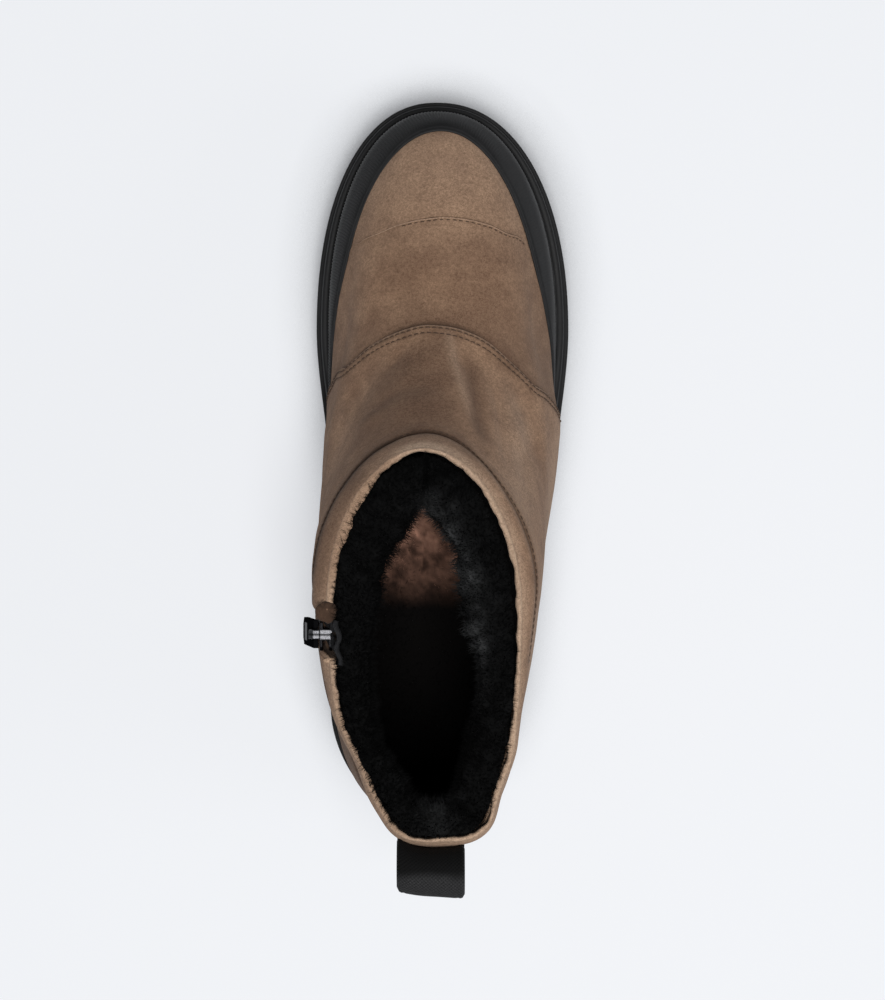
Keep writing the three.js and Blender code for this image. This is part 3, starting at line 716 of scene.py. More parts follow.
@dataclass(frozen=True)
class Finish:
    """A finish: builds one material for the pieces that share it.

    Attributes:
        name: Name of the material.
        colour: Base colour, linear.
        second: The other colour it drifts to.
        roughness: How matt it is.
    """

    name: str
    colour: tuple[float, float, float]
    second: tuple[float, float, float]
    roughness: float

    def start(self) -> tuple[Material, Board, Node]:
        """An empty material with its Principled shader."""
        material = bpy.data.materials.new(self.name)
        material.use_nodes = True
        material.node_tree.nodes.clear()
        board = Board(material.node_tree)
        shader = board.add("ShaderNodeBsdfPrincipled", {"Roughness": self.roughness})
        board.add("ShaderNodeOutputMaterial", {"Surface": shader.outputs[0]})
        return material, board, shader

    def mixed(self, board: Board, share: Any) -> NodeSocket:
        """Its colour drifting to the second one by a share."""
        return board.blend(share, (*self.colour, 1), (*self.second, 1))


@dataclass(frozen=True)
class Suede(Finish):
    """Napped suede: clouds of brushed pile, fine fibres, darker seams, painted light and shade from the
    mesh's masks, and a soft sheen.
    """

    def make(self, effects: Effects) -> Material:
        """Builds the material; it reads the mesh's masks: shade and light paint shade and light onto the
        suede, and seam darkens seams and paints shade in grooves, the zip's slot and wrinkles.
        """
        material, b, shader = self.start()
        nap = b.add("ShaderNodeGroup", {"Place": b.place()}, node_tree=effects.nap)
        fibre, cloud, drift = nap.outputs
        clouds = b.math("ADD", b.math("MULTIPLY", cloud, 0.6), b.math("MULTIPLY", drift, 0.4))
        base = self.mixed(b, b.ramp(clouds, 0.4, 0.62))
        # Painted shade, then painted light, from the mesh's masks.
        shaded = b.blend(b.attribute("shade"), base, (0.085, 0.048, 0.031, 1))
        lit = b.blend(b.attribute("light"), shaded, (0.385, 0.275, 0.195, 1))
        bright = b.blend(1.0, lit, (1.85, 1.9, 1.95, 1), "MULTIPLY")
        flecked = b.blend(b.ramp(fibre, 0.46, 0.7, 0, 0.8), lit, bright)
        dim = b.blend(1.0, lit, (0.42, 0.38, 0.36, 1), "MULTIPLY")
        napped = b.blend(b.ramp(fibre, 0.5, 0.32, 0, 0.62), flecked, dim)
        # Dark seams, and painted shade in grooves, the zip's slot and the tuck's wrinkles.
        seams_and_groove_shade = b.blend(b.attribute("seam"), napped, (0.035, 0.021, 0.014, 1))
        height = b.math("ADD", fibre, b.math("MULTIPLY", cloud, 0.35))
        b.feed(shader, {"Base Color": seams_and_groove_shade, "Normal": b.bumped(height, 0.0005, 0.7),
                        "Sheen Weight": 0.07, "Sheen Roughness": 0.45,
                        "Sheen Tint": (0.9, 0.78, 0.68, 1), "Specular IOR Level": 0.12})
        return material


@dataclass(frozen=True)
class Pile(Finish):
    """Fur or fleece: first colour to second by the mesh's tone mask, which holds painted light and shade as
    well as the pile's own varied tone.

    Attributes:
        specular: How much it shines.
    """

    specular: float

    def make(self, effects: Effects) -> Material:
        """Builds the material; it reads the mask tone, 0 for the first colour and 1 for the second."""
        material, b, shader = self.start()
        nap = b.add("ShaderNodeGroup", {"Place": b.place()}, node_tree=effects.nap).outputs
        share = b.math("MULTIPLY", b.attribute("tone"), b.ramp(nap["Cloud"], 0.35, 0.65, 0.5, 1.4))
        b.feed(shader, {"Base Color": self.mixed(b, b.ramp(share, 0, 1)),
                        "Normal": b.bumped(nap["Fibre"], 0.0006, 0.6),
                        "Specular IOR Level": self.specular})
        return material


@dataclass(frozen=True)
class Rubber(Finish):
    """Moulded rubber: fine grain and a cloud of dust.

    Attributes:
        dust: How much of the second colour the dust brings.
        specular: How much it shines.
    """

    dust: float
    specular: float

    def make(self, effects: Effects) -> Material:
        """Builds the material."""
        material, b, shader = self.start()
        grain = b.add("ShaderNodeGroup", {"Place": b.place()}, node_tree=effects.grain)
        pits, cloud = grain.outputs
        share = b.math("MULTIPLY", b.ramp(cloud, 0.42, 0.72), self.dust)
        rough = b.ramp(cloud, 0.3, 0.7, self.roughness - 0.06, self.roughness + 0.08)
        b.feed(shader, {"Base Color": self.mixed(b, share), "Roughness": rough,
                        "Normal": b.bumped(pits, 0.00012, 0.5), "Specular IOR Level": self.specular})
        return material


@dataclass(frozen=True)
class Webbing(Finish):
    """Woven cloth on a UV map in metres: crossed threads and fuzz.

    Attributes:
        across: Threads per metre across the strip.
        along: Threads per metre along it.
    """

    across: float = 700.0
    along: float = 900.0

    def make(self, effects: Effects) -> Material:
        """Builds the material; it reads the mask shade, 1 where no light comes."""
        material, b, shader = self.start()
        uv = b.add("ShaderNodeTexCoord").outputs["UV"]
        weave = b.add("ShaderNodeGroup", {"Place": uv, "Across": self.across, "Along": self.along},
                      node_tree=effects.weave)
        cross = weave.outputs["Cross"]
        fuzz = b.noise(b.place(), 2400, 3, 0.6)
        share = b.math("ADD", b.ramp(cross, -1, 1, 0, 0.6), b.ramp(fuzz, 0.3, 0.7, -0.2, 0.4))
        woven = self.mixed(b, b.ramp(share, 0, 1))
        height = b.math("ADD", cross, b.math("MULTIPLY", fuzz, 0.8))
        b.feed(shader, {"Base Color": b.blend(b.attribute("shade"), woven, (0.001, 0.001, 0.001, 1)),
                        "Normal": b.bumped(height, 0.00018, 0.7), "Specular IOR Level": 0.15})
        return material


@dataclass(frozen=True)
class Metal(Finish):
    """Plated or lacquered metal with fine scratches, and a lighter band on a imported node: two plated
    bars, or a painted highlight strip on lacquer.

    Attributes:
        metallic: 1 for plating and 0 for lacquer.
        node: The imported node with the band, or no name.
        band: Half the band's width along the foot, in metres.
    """

    metallic: float = 1.0
    node: str = ""
    band: float = 0.0

    def make(self, effects: Effects) -> Material:
        """Builds the material.

        Plating has its band as two bars with a groove between them, and lacquer has it as one painted
        highlight strip near the edge that lies on the boot's inner side.
        """
        material, b, shader = self.start()
        place = b.place()
        share = b.ramp(b.noise(place, 700, 3, 0.6), 0.62, 0.74, 0, 0.25 * self.metallic)
        if self.node:
            low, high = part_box(self.node)
            x, y, _ = b.add("ShaderNodeSeparateXYZ", {0: place}).outputs
            off = b.math("ABSOLUTE", b.math("SUBTRACT", y, (low.y + high.y) / 2))
            inside = b.ramp(off, self.band + 0.0001, self.band)
            if self.metallic:
                share = b.math("MULTIPLY", inside, b.ramp(off, 0.0003, 0.0005, 0.15, 1))
            else:
                # On lacquer: a painted highlight strip near the tab's edge.
                edge = b.math("ABSOLUTE", b.math("SUBTRACT", x, low.x + 0.0014))
                share = b.math("MAXIMUM", share, b.math("MULTIPLY", inside, b.ramp(edge, 0.0007, 0.0005)))
        stretched = b.add("ShaderNodeMapping", {"Vector": place, "Scale": (1, 1, 0.12)}).outputs[0]
        scratch = b.noise(stretched, 5200, 2, 0.5)
        b.feed(shader, {"Base Color": self.mixed(b, share), "Metallic": self.metallic,
                        "Roughness": b.ramp(scratch, 0.3, 0.7, self.roughness * 0.7, self.roughness * 1.5),
                        "Normal": b.bumped(scratch, 0.00002, 0.5),
                        "Specular IOR Level": 0.5 if self.metallic else 0.0})
        return material


@dataclass(frozen=True)
class Plain(Finish):
    """Paper or thread: one colour with a faint drift.

    Attributes:
        scale: Turns of the drift per metre.
    """

    scale: float

    def make(self, effects: Effects) -> Material:
        """Builds the material."""
        material, b, shader = self.start()
        b.feed(shader, {"Base Color": self.mixed(b, b.noise(b.place(), self.scale, 3)),
                        "Specular IOR Level": 0.2})
        return material


@dataclass(frozen=True)
class Paper(Plain):
    """Backdrop paper that glows evenly as well, so shadows on it stay soft; near the boot the glow fades, a
    painted contact shadow that reaches out past the toe.

    Attributes:
        glow: Colour of the glow; where something stands close it fades, painting a contact shadow.
    """

    glow: tuple[float, float, float] = (0.55, 0.56, 0.584)

    def make(self, effects: Effects) -> Material:
        """Builds the material."""
        material = super().make(effects)
        b = Board(material.node_tree)
        shader = next(n for n in b.tree.nodes if n.type == "BSDF_PRINCIPLED")
        # Painted contact shadow: occlusion sampled about a normal leaned towards the heel dims the glow
        # near the boot, most past the toe.
        lean = b.add("ShaderNodeCombineXYZ", {0: 0.02, 1: -0.7, 2: 0.72}).outputs[0]
        near = b.add("ShaderNodeAmbientOcclusion", {"Distance": 0.034, "Normal": lean}, samples=8)
        b.feed(shader, {"Emission Color": (*self.glow, 1),
                        "Emission Strength": b.ramp(near.outputs["AO"], 0.4, 0.8)})
        return material


class Kind(Enum):
    """The boot's finishes, each with the slot of the record it answers to."""

    SOLE = ("sole_rubber",
            Rubber("Sole rubber", (0.0055, 0.0055, 0.0058), (0.022, 0.022, 0.023), 0.6, 0.4, 0.22))
    RAND = ("rand_rubber",
            Rubber("Rand rubber", (0.009, 0.009, 0.0095), (0.036, 0.036, 0.036), 0.62, 0.3, 0.2))
    SUEDE = ("suede", Suede("Brown suede", (0.245, 0.15, 0.094), (0.165, 0.096, 0.06), 0.95))
    # Fur: the second colour is painted light on the black pile.
    FUR = ("fur", Pile("Black fur", (0.0006, 0.0006, 0.0006), (0.21, 0.215, 0.22), 0.85, 0.08))
    # Fleece: the first colour, near black, is what painted shade and the darkening towards the heel bring
    # it to.
    FLEECE = ("fleece", Pile("Rust fleece", (0.0008, 0.0004, 0.0003), (0.5, 0.26, 0.18), 0.9, 0.1))
    TAPE = ("zip_tape", Webbing("Zip tape", (0.006, 0.006, 0.007), (0.035, 0.035, 0.037), 0.8, 1500, 1100))
    SLIDER = ("zip_metal",
              Metal("Slider nickel", (0.006, 0.006, 0.0065), (0.085, 0.085, 0.09), 0.42, 1.0,
                    "zip_slider", 0.0016))
    TEETH = ("zip_metal", Metal("Dark nickel", (0.06, 0.06, 0.065), (0.3, 0.3, 0.31), 0.3))
    # The lacquer's second colour is its painted highlight strip.
    PULL = ("pull_metal",
            Metal("Black lacquer", (0.004, 0.004, 0.0045), (0.2, 0.2, 0.205), 0.6, 0.0, "zip_pull", 0.0033))
    WEBBING = ("webbing", Webbing("Black webbing", (0.008, 0.008, 0.0085), (0.036, 0.036, 0.037), 0.85))
    THREAD = ("thread", Plain("Brown thread", (0.08, 0.048, 0.032), (0.045, 0.027, 0.018), 0.7, 900))

    @property
    def slot(self) -> str:
        """The record's slot."""
        return self.value[0]


@dataclass
class Workshop:
    """What every sub-assembly needs: the last, the node groups and the finished materials."""

    last: Last
    effects: Effects
    made: dict[Kind, Material] = field(default_factory=dict)

    def material(self, kind: Kind) -> Material:
        """The material of a finish, built the first time it is asked for."""
        if kind not in self.made:
            self.made[kind] = kind.value[1].make(self.effects)
        return self.made[kind]

    def dress(self, piece: Object, kind: Kind,
              stands_for: Sequence[str] = ()) -> Object:
        """Gives a new piece its material and its body, and hides the nodes it stands for."""
        piece.data.materials.append(self.material(kind))
        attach(piece, "boot")
        if stands_for:
            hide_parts(*stands_for)
        LOG.info("%s: %d faces", piece.name, len(piece.data.polygons))
        return piece

    def make(self, surface: Surface, kind: Kind, stands_for: Sequence[str] = ()) -> Object:
        """Builds a surface as a new piece and dresses it."""
        return self.dress(surface.build(self.last.shift), kind, stands_for)

    def dress_node(self, name: str, kind: Kind, width: float, segments: int, angle: float) -> None:
        """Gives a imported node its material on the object's own slot, and rounded edges.

        Modifiers weld its loose triangles, round its sharp edges and keep its flats flat; its
        mesh stays as it was packed.

        Args:
            name: The node's name.
            kind: Its finish.
            width: Width of the rounding, in metres.
            segments: Steps across the rounding.
            angle: Edges sharper than this many degrees are rounded.
        """
        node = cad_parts[name]
        for slot in node.material_slots:
            slot.link = "OBJECT"
            slot.material = self.material(kind)
        weld = node.modifiers.new("Weld", "WELD")
        weld.merge_threshold = 0.00001
        bevel = node.modifiers.new("Rounded edges", "BEVEL")
        bevel.width, bevel.segments, bevel.angle_limit = width, segments, math.radians(angle)
        shade = node.modifiers.new("Smooth shading", "NODES")
        shade.node_group = self.effects.smooth
        weigh = node.modifiers.new("Weighted normals", "WEIGHTED_NORMAL")
        weigh.weight = 60
        LOG.info("%s dressed", name)


def evenly(last: Last, level: float, start: float, end: float, spacing: float,
           finer: tuple[float, float, float] | None = None) -> Array:
    """Turns that lie a given distance apart along one ring.

    Args:
        last: The last.
        level: The ring's level.
        start: First turn.
        end: Last turn.
        spacing: Distance between two, in millimetres.
        finer: Middle and half width, in turns, of a stretch and how many times finer it is.

    Returns:
        The turns.
    """
    fine = np.linspace(start, end, 4001)
    steps = np.linalg.norm(np.diff(last.point(fine, level), axis=0), axis=1) / spacing
    if finer:
        middle = (fine[1:] + fine[:-1]) / 2
        steps *= 1 + (finer[2] - 1) * (np.abs(middle - finer[0]) < finer[1])
    far = np.concatenate([[0], np.cumsum(steps)])
    return np.interp(np.linspace(0, far[-1], round(far[-1]) + 1), far, fine)


# ---------------------------------------------------------------- zip line
@dataclass(frozen=True)
class ZipLine:
    """Where the zip runs down the inner side.

    Attributes:
        top: Its Y at the collar.
        foot: Its Y at its lower end.
        low: Level of its lower end.
        half: Half the width of its slot.
        flare: How much further back the slot reaches beside the collar.
        depth: Depth of the slot.
    """

    top: float = 83.5
    foot: float = 116.0
    low: float = 2.2
    half: float = 7.0
    flare: float = 2.0
    depth: float = 3.4

    def y(self, level: Array | float) -> Array:
        """Its Y at a level, on a straight line from foot to top."""
        return self.foot + (self.top - self.foot) * (level - self.low) / (RIM - self.low)

    def trough(self, turn: Array, level: Array, y: Array) -> Array:
        """How deep the slot is at a place of the upper: full between its edges, 0 outside."""
        across = np.abs(y - self.y(level))
        reach = self.half + self.flare * ease(level, 11.2, 12.2) * (y < self.y(level))
        inside = 1 - ease(across, reach - 0.5, reach + 0.5)
        return np.where(np.sin(turn) < 0, inside * ease(level, self.low - 0.12, self.low + 0.12), 0)


ZIP = ZipLine()


def inner_front(turn: Array) -> Array:
    """1 along the inner front of the collar, where its seam lies open, and 0 elsewhere."""
    return ease(-turn, 0.15, 0.4) * (1 - ease(-turn, 1.15, 1.4))


def slack(turn: Array, level: Array | float) -> Array:
    """How far the worn collar lies inside the last: at its inner rear corner and by the loop."""
    corner = 3.0 * bump(turn + 2.16, 0.17) * ease(level, 5.5, 9)
    return -corner - 1.2 * bump(np.abs(turn) - math.pi, 0.22) * ease(level, 11.7, 12.7)


# ---------------------------------------------------------------- the suede upper
@dataclass
class SuedeUpper:
    """The suede outside: one vamp, one quarter that laps over it, and the padded collar band.

    Attributes:
        shop: The workshop.
        skin: Thickness of the suede in front of the last's surface.
        back: How far the suede reaches behind it.
        spacing: Distance between two points of the grid.
        creases: The folds that wear has left.
    """

    shop: Workshop
    skin: float = 0.5
    back: float = 1.3
    spacing: float = 1.05
    creases: tuple[Crease, ...] = (
        Crease(((0.3, 8.25), (0.4, 8.9), (0.46, 9.7), (0.5, 10.9)), 5.0, 1.7),
        Crease(((0.1, 8.2), (0.2, 8.8), (0.3, 9.5), (0.38, 10.4)), 5.5, -0.6),
        Crease(((0.58, 8.2), (0.66, 9.1), (0.7, 9.9), (0.72, 10.8)), 3.4, 1.0),
        Crease(((0.66, 7.6), (0.78, 8.5), (0.86, 9.5)), 6.0, -0.9),
        Crease(((-1.0, 7.2), (-0.78, 8.6), (-0.5, 10.4)), 7.0, -0.8),
        Crease(((-0.5, 8.0), (-0.2, 9.0), (0.0, 10.4)), 8.0, 1.3),
        Crease(((1.1, 7.4), (0.95, 9.0), (0.9, 10.6)), 4.5, 0.8),
        Crease(((-0.95, 7.2), (-0.75, 8.4), (-0.62, 9.8)), 5.5, 0.9),
        Crease(((-0.5, 8.4), (-0.42, 9.6), (-0.4, 10.8)), 5.0, 0.5),
        Crease(((-0.7, 9.3), (-0.35, 9.6), (0.0, 9.5)), 5.0, 0.6),
        Crease(((-0.7, 7.0), (-0.2, 7.35), (0.3, 7.3)), 7.0, 0.5),
        Crease(((0.5, 6.4), (0.25, 6.8), (-0.05, 6.7)), 6.0, 0.35),
        Crease(((1.9, 3.5), (1.75, 5.5), (1.7, 7.5)), 7.0, 0.8),
        Crease(((2.3, 8.2), (1.8, 8.6), (1.4, 8.9)), 5.0, 0.7),
        Crease(((2.9, 7.2), (2.5, 7.5), (2.0, 7.1)), 5.0, 0.7),
        Crease(((-2.9, 7.4), (-2.5, 7.8), (-2.1, 7.3)), 5.0, 0.7),
        Crease(((-2.6, 9.4), (-2.2, 9.2), (-1.9, 9.6)), 4.0, 0.5),
        Crease(((-1.25, 6.8), (-1.3, 8.4), (-1.2, 10.0)), 5.0, 0.6),
    )

    def relief(self, surface: Array) -> Array:
        """How far the worn suede stands off the last: two scales of waves and the creases."""
        push = 0.32 * lattice_noise(surface, 24, 5) + 0.1 * lattice_noise(surface, 8, 6)
        for crease in self.creases:
            push = push + crease.push(self.shop.last, surface)
        return push

    def rows(self, low: Array, high: Array, count: int) -> Array:
        """Levels between two edges, close together at both edges."""
        near = np.array([0, 0.012, 0.035, 0.07, 0.12, 0.18])
        tight = np.minimum(1, (high - low) / 0.4)[None]
        middle = np.linspace(0, 1, count + 2)[1:-1, None]
        first, final = low + near[:, None] * tight, high - near[::-1, None] * tight
        return np.concatenate([first, first[-1] + (final[0] - first[-1]) * middle, final])

    def panel(self, name: str, turn: Array, low: Array, high: Array, count: int, ring: bool,
              shape: Callable[[Array, Array, Array], tuple[Array, dict[str, Array]]]) -> Object:
        """One closed panel: its outer face, its rounded edges and its flesh side.

        The profile goes up the outer face and down the flesh side. Near both edges the skin
        thins as a quarter circle.

        Args:
            name: Name of the piece.
            turn: Turn of each column.
            low: Level of the lower edge at each column.
            high: Level of the upper edge.
            count: Rows between the close ones.
            ring: Whether the panel goes all the way round.
            shape: From turn, level and surface points to the push outwards and the masks.

        Returns:
            The piece.
        """
        last = self.shop.last
        levels = self.rows(low, high, count)
        turns = np.broadcast_to(turn, levels.shape)
        surface = last.point(turns, levels)
        push, masks = shape(turns, levels, surface)
        edge = np.minimum(levels - low, high - levels)
        round_off = np.sqrt(np.clip(1 - (1 - np.clip(edge / 0.12, 0, 1)) ** 2, 0, 1))
        out = push + self.skin * round_off - 0.55 * (1 - round_off)
        face = surface + last.normal(turns, levels) * out[..., None]
        order = np.append(np.arange(len(levels) - 1, 0, -3), 0)
        behind = levels[order]
        flesh = last.offset(np.broadcast_to(turn, behind.shape), behind,
                            np.minimum(push[order], 0) - self.back)
        points = np.concatenate([face, flesh])
        full = {k: np.concatenate([v, np.zeros(behind.shape)]) for k, v in masks.items()}
        return self.shop.make(Surface(name, points, True, ring, masks=full), Kind.SUEDE, ("upper",))

    def vamp(self) -> Object:
        """The vamp with its raised seam over the toe; its upper edge goes under the quarter."""
        last = self.shop.last
        turn = evenly(last, 5, -1.5, 1.52, self.spacing)
        high = VAMP_SEAM.level(turn) + 0.75
        seam_line = self.line(TOE_SEAM, -1.1, 1.1)
        lap_line = self.line(VAMP_SEAM, -1.5, 1.52)

        def shape(turns: Array, levels: Array, surface: Array) -> tuple[Array, dict[str, Array]]:
            """Waves, the toe's raised line between two shallow troughs, and the lap's shadow."""
            line, lap = gap_to(seam_line, surface)[0], gap_to(lap_line, surface)[0]
            under = ease(levels - VAMP_SEAM.level(turns), 0.0, 0.12)
            push = (self.relief(surface) + 0.36 * bump(line, 0.5) - 0.16 * bump(line, 2.4)
                    - 0.35 * bump(lap, 1.6) - 0.5 * under)
            # worn is painted shade: the vamp behind the toe cap is darker where it slopes away from the
            # overhead lamp, less so on the inner side.
            worn = ((0.34 - 0.2 * ease(-turns, 0.2, 0.8)) * (1 - ease(surface[..., 1], 192, 268))
                    * (1 + 0.45 * lattice_noise(surface, 23, 12)))
            # Masks: painted shade in a dark line under the quarter's lapped edge and below it, painted
            # light on the toe, and the darkening low on the sides.
            return push, {"seam": 0.85 * bump(lap, 0.8),
                          "light": 0.25 * ease(surface[..., 1], 215, 275),
                          "shade": 0.3 * bump(lap, 5) + self.darker_low(surface) + worn}

        low = np.zeros(len(turn))
        return self.panel("suede_vamp", turn, low, np.maximum(high, 0.02), 100, False, shape)

    def quarter(self) -> Object:
        """The quarter round the heel and over the instep, open along the zip."""
        last = self.shop.last
        turn = evenly(last, 8, -math.pi, math.pi, self.spacing, (-1.6, 0.28, 2.2))[:-1]
        low = np.maximum(VAMP_SEAM.level(turn), 0)
        high = COLLAR_SEAM.level(turn)
        lap_line = self.line(VAMP_SEAM, -1.5, 1.52)
        top_line = self.line(COLLAR_SEAM, -math.pi, math.pi)

        def shape(turns: Array, levels: Array, surface: Array) -> tuple[Array, dict[str, Array]]:
            """Waves, the lapped edge with its two stitched grooves, and the sunk top edge."""
            lap, top = gap_to(lap_line, surface)[0], gap_to(top_line, surface)[0]
            open_seam = inner_front(turns)
            over = bump(lap, 9)
            push = self.relief(surface) * (1 - 0.7 * over) + 0.95 * over
            push = push - 0.22 * (bump(lap - 2.0, 0.7) + bump(lap - 4.4, 0.7))
            push = push - 0.9 * bump(top, 1.6) + 0.25 * bump(top - 5, 3)
            push = push - 0.15 * bump(top - 2.2, 0.7) + slack(turns, levels)
            slot = ZIP.trough(turns, levels, surface[..., 1])
            grooves = 0.4 * bump(top - 2.2, 0.9) + 0.35 * bump(lap - 2.0, 0.4) + 0.3 * bump(lap - 4.4, 0.4)
            # Masks: seam paints shade along the collar seam, in the stitched grooves and in the zip's slot,
            # with the dark patch by the zip's top; light paints a highlight on the lapped edge and light on
            # the outer side; shade paints shade on slopes facing away from the lamps and below the collar
            # band, with the darkening low on the sides.
            masks = {
                "seam": bump(top, 1.3 + 0.7 * open_seam) + grooves + 0.97 * slot
                + self.zip_top_dark_patch(turns, levels, surface),
                "light": 0.6 * bump(lap, 0.7) + 0.26 * self.painted_side_light(turns, levels),
                "shade": self.painted_slope_shade(turns, levels) + (0.45 + 0.25 * open_seam) * bump(top, 4.5)
                + self.darker_low(surface),
            }
            return push * (1 - slot) - (ZIP.depth - 0.5) * slot, masks

        return self.panel("suede_quarter", turn, low, high, 94, True, shape)

    def painted_slope_shade(self, turns: Array, levels: Array) -> Array:
        """Painted shade where the instep and the inner side face away from the lamps, in a crease's trough
        and at the inner rear.
        """
        across = np.exp(-(((turns + 0.2) / 0.55) ** 4))
        front = 0.58 * across * ease(levels, 7.9, 8.8) * (1 - 0.5 * ease(levels, 10.6, 11.8))
        inner = 0.12 * ease(-turns, 0.9, 1.3) * (1 - ease(-turns, 2.3, 3.1))
        inner = inner * (1 - 0.5 * ease(levels, 10.8, 12))
        trough = 0.6 * bump(turns - 0.44 - 0.02 * (levels - 9), 0.085) * ease(levels, 8, 8.6)
        rear = 0.7 * ease(-turns, 1.55, 1.95) * (1 - ease(-turns, 2.5, 3.1))
        return front + inner + rear + trough * (1 - ease(levels, 10.3, 11.3))

    def painted_side_light(self, turns: Array, levels: Array) -> Array:
        """Painted light on the outer side's shoulder and side, and on a ridge of the instep."""
        ridge = bump(turns - 0.26 - 0.09 * (levels - 9), 0.06) * ease(levels, 7.9, 8.3)
        outer = bump(turns - 0.85, 0.2) * ease(levels, 7.6, 8.4)
        outer = outer + 0.9 * ease(turns, 1.25, 1.5) * (1 - ease(turns, 2.2, 3.1))
        return ridge * (1 - ease(levels, 9.6, 10.6)) + outer * (1 - 0.4 * ease(levels, 11, 12))

    def zip_top_dark_patch(self, turns: Array, levels: Array, surface: Array) -> Array:
        """A dark patch beside the zip's top, on the inner side."""
        spot = bump(surface[..., 1] - ZIP.top + 4.2, 3.0) * ease(levels, 10.5, 11.4)
        return 0.85 * np.where(np.sin(turns) < 0, spot, 0)

    def darker_low(self, surface: Array) -> Array:
        """Faintly darker low on the sides, fading upwards in clouds."""
        low = 1 - ease(surface[..., 2], 34, 58)
        return 0.22 * low * (0.6 + 0.4 * lattice_noise(surface, 9, 11))

    def line(self, seam: Line, start: float, end: float) -> Array:
        """Points along a seam."""
        turn = np.linspace(start, end, 90)
        return self.shop.last.point(turn, np.clip(seam.level(turn), 0, RIM))

    def collar_band(self) -> Object:
        """The padded band from the collar seam over the rim, turned in beside the fur."""
        last = self.shop.last
        turn = evenly(last, 12, -math.pi, math.pi, 0.95, (-1.5, 0.22, 2))[:-1]
        low = COLLAR_SEAM.level(turn)
        share = np.concatenate([[0, 0.01, 0.03, 0.06], np.linspace(0.1, 1, 16)])
        levels = low + (RIM - low) * share[:, None]
        turns = np.broadcast_to(turn, levels.shape)
        surface = last.point(turns, levels)
        swell = np.sin(np.clip(share, 0, 1) * math.pi)[:, None] ** 0.7
        start = np.sqrt(np.clip(1 - (1 - np.clip(share / 0.1, 0, 1)) ** 2, 0, 1))[:, None]
        slot = ZIP.trough(turns, levels, surface[..., 1])
        wave = 0.22 * lattice_noise(surface, 13, 21) + 0.1 * lattice_noise(surface, 5, 22)
        open_seam = inner_front(turn)
        out = ((1.1 - 0.8 * open_seam) * swell + wave + self.skin) * start
        out = out - 0.9 * (1 - start) + slack(turns, levels)
        out = out * (1 - slot) - (ZIP.depth - 0.5) * slot
        face = surface + last.normal(turns, levels) * out[..., None]
        edge = face[-1]
        inward = unit(-last.normal(turn, RIM) * np.array([1, 1, 0.0]))
        fray = 0.6 * lattice_noise(edge, 6, 23) + 0.4 * lattice_noise(edge, 2.2, 24)
        reach = self.turned(turn) + fray
        arc = np.linspace(0, math.pi, 11)[1:, None]
        across = (1 - np.cos(arc)) / 2 * reach
        lift = np.sin(arc) * (1.25 + 0.2 * lattice_noise(edge, 6, 25))
        deeper = np.concatenate([across, np.repeat(across[-1:], 3, 0)])
        height = np.concatenate([lift, np.repeat([[-2.0], [-5.0], [-9.0]], len(turn), 1)])
        notch = ZIP.trough(turn, np.full_like(turn, RIM), edge[:, 1])
        roll = edge + inward * deeper[..., None]
        roll = roll + np.array([0, 0, 1.0]) * (height - 2.0 * notch)[..., None]
        under = np.stack([low + 0.25 * (RIM - low), low])
        back = last.inner(np.broadcast_to(turn, under.shape), under, self.back + 0.4 - slack(turn, under))
        points = np.concatenate([face, roll, back])
        extra = len(points) - len(levels)
        # Painted light on the band's top and rolled rim; painted shade on its lower part, at the inner
        # front and rear; seam paints shade in the seam's groove, the zip's slot and its notch.
        rear = ease(-turn, 1.6, 2.0) * (1 - ease(-turn, 2.75, 3.0))
        front = ease(-turn, 0.35, 0.6) * (1 - ease(-turn, 1.2, 1.45))
        near_top = ease(share, 0.5, 1)[:, None]
        face_light = (0.05 + 0.35 * near_top) * (1 + 1.6 * bump(turn, 0.3)) * (1 - 0.8 * front)
        light = np.concatenate([face_light, np.full((extra, len(turn)), 0.7)])
        light = light * (1 - 0.3 * rear) * (1 - notch) * (1 - 0.62 * open_seam)
        groove = bump((levels - low) * 11, 1.5 + 1.1 * open_seam) + 0.97 * slot
        seam = np.concatenate([groove + self.zip_top_dark_patch(turns, levels, surface),
                               0.95 * np.repeat(notch[None], extra, 0)])
        shade = 0.12 * np.repeat(rear[None], len(points), 0)
        shade[:len(levels)] += 0.4 * bump(share, 0.3)[:, None]
        shade[:len(levels)] += 0.5 * front * (1 - ease(share, 0.7, 1.0)[:, None])
        made = Surface("suede_collar_band", points, True, True,
                       masks={"light": light, "seam": seam, "shade": shade})
        return self.shop.make(made, Kind.SUEDE, ("upper",))

    @staticmethod
    def turned(turn: Array) -> Array:
        """How wide the suede's edge shows from above before the fur starts."""
        turns = (-math.pi, -2.6, -2.1, -1.5, -1.18, -0.9, -0.62, -0.3, 0, 0.4, 0.8, 1.5, 2.3, math.pi)
        return smooth(turns, (1.5, 2.3, 2.6, 2.2, 3.0, 4.6, 3.9, 2.3, 1.6, 2.2, 2.3, 2.1, 2.1, 1.5), turn)

    def seams(self) -> None:
        """Two rows of stitches along the lap, one over the toe and one under the collar seam.

        The toe's seam also has a thin ridge with a painted highlight, and below it a thin tube painted dark
        as the ridge's shadow.
        """
        last = self.shop.last
        # name, seam, first and last turn, distance above the seam, height off the last, share of relief
        rows = (("vamp_stitches_lower", VAMP_SEAM, -1.36, 1.4, 2.0, 1.55, 0.3),
                ("vamp_stitches_upper", VAMP_SEAM, -1.36, 1.4, 4.5, 1.4, 0.3),
                ("toe_stitches", TOE_SEAM, -0.35, 0.82, 0.7, 0.42, 1.0))
        for name, seam, start, end, up, out, waves in rows:
            turn = np.linspace(start, end, 400)
            path, normals = self.beside(seam, turn, up)
            path = path + normals * (out + self.relief(path) * waves)[:, None]
            self.shop.dress(stitches(name, path, normals, last.shift), Kind.THREAD)
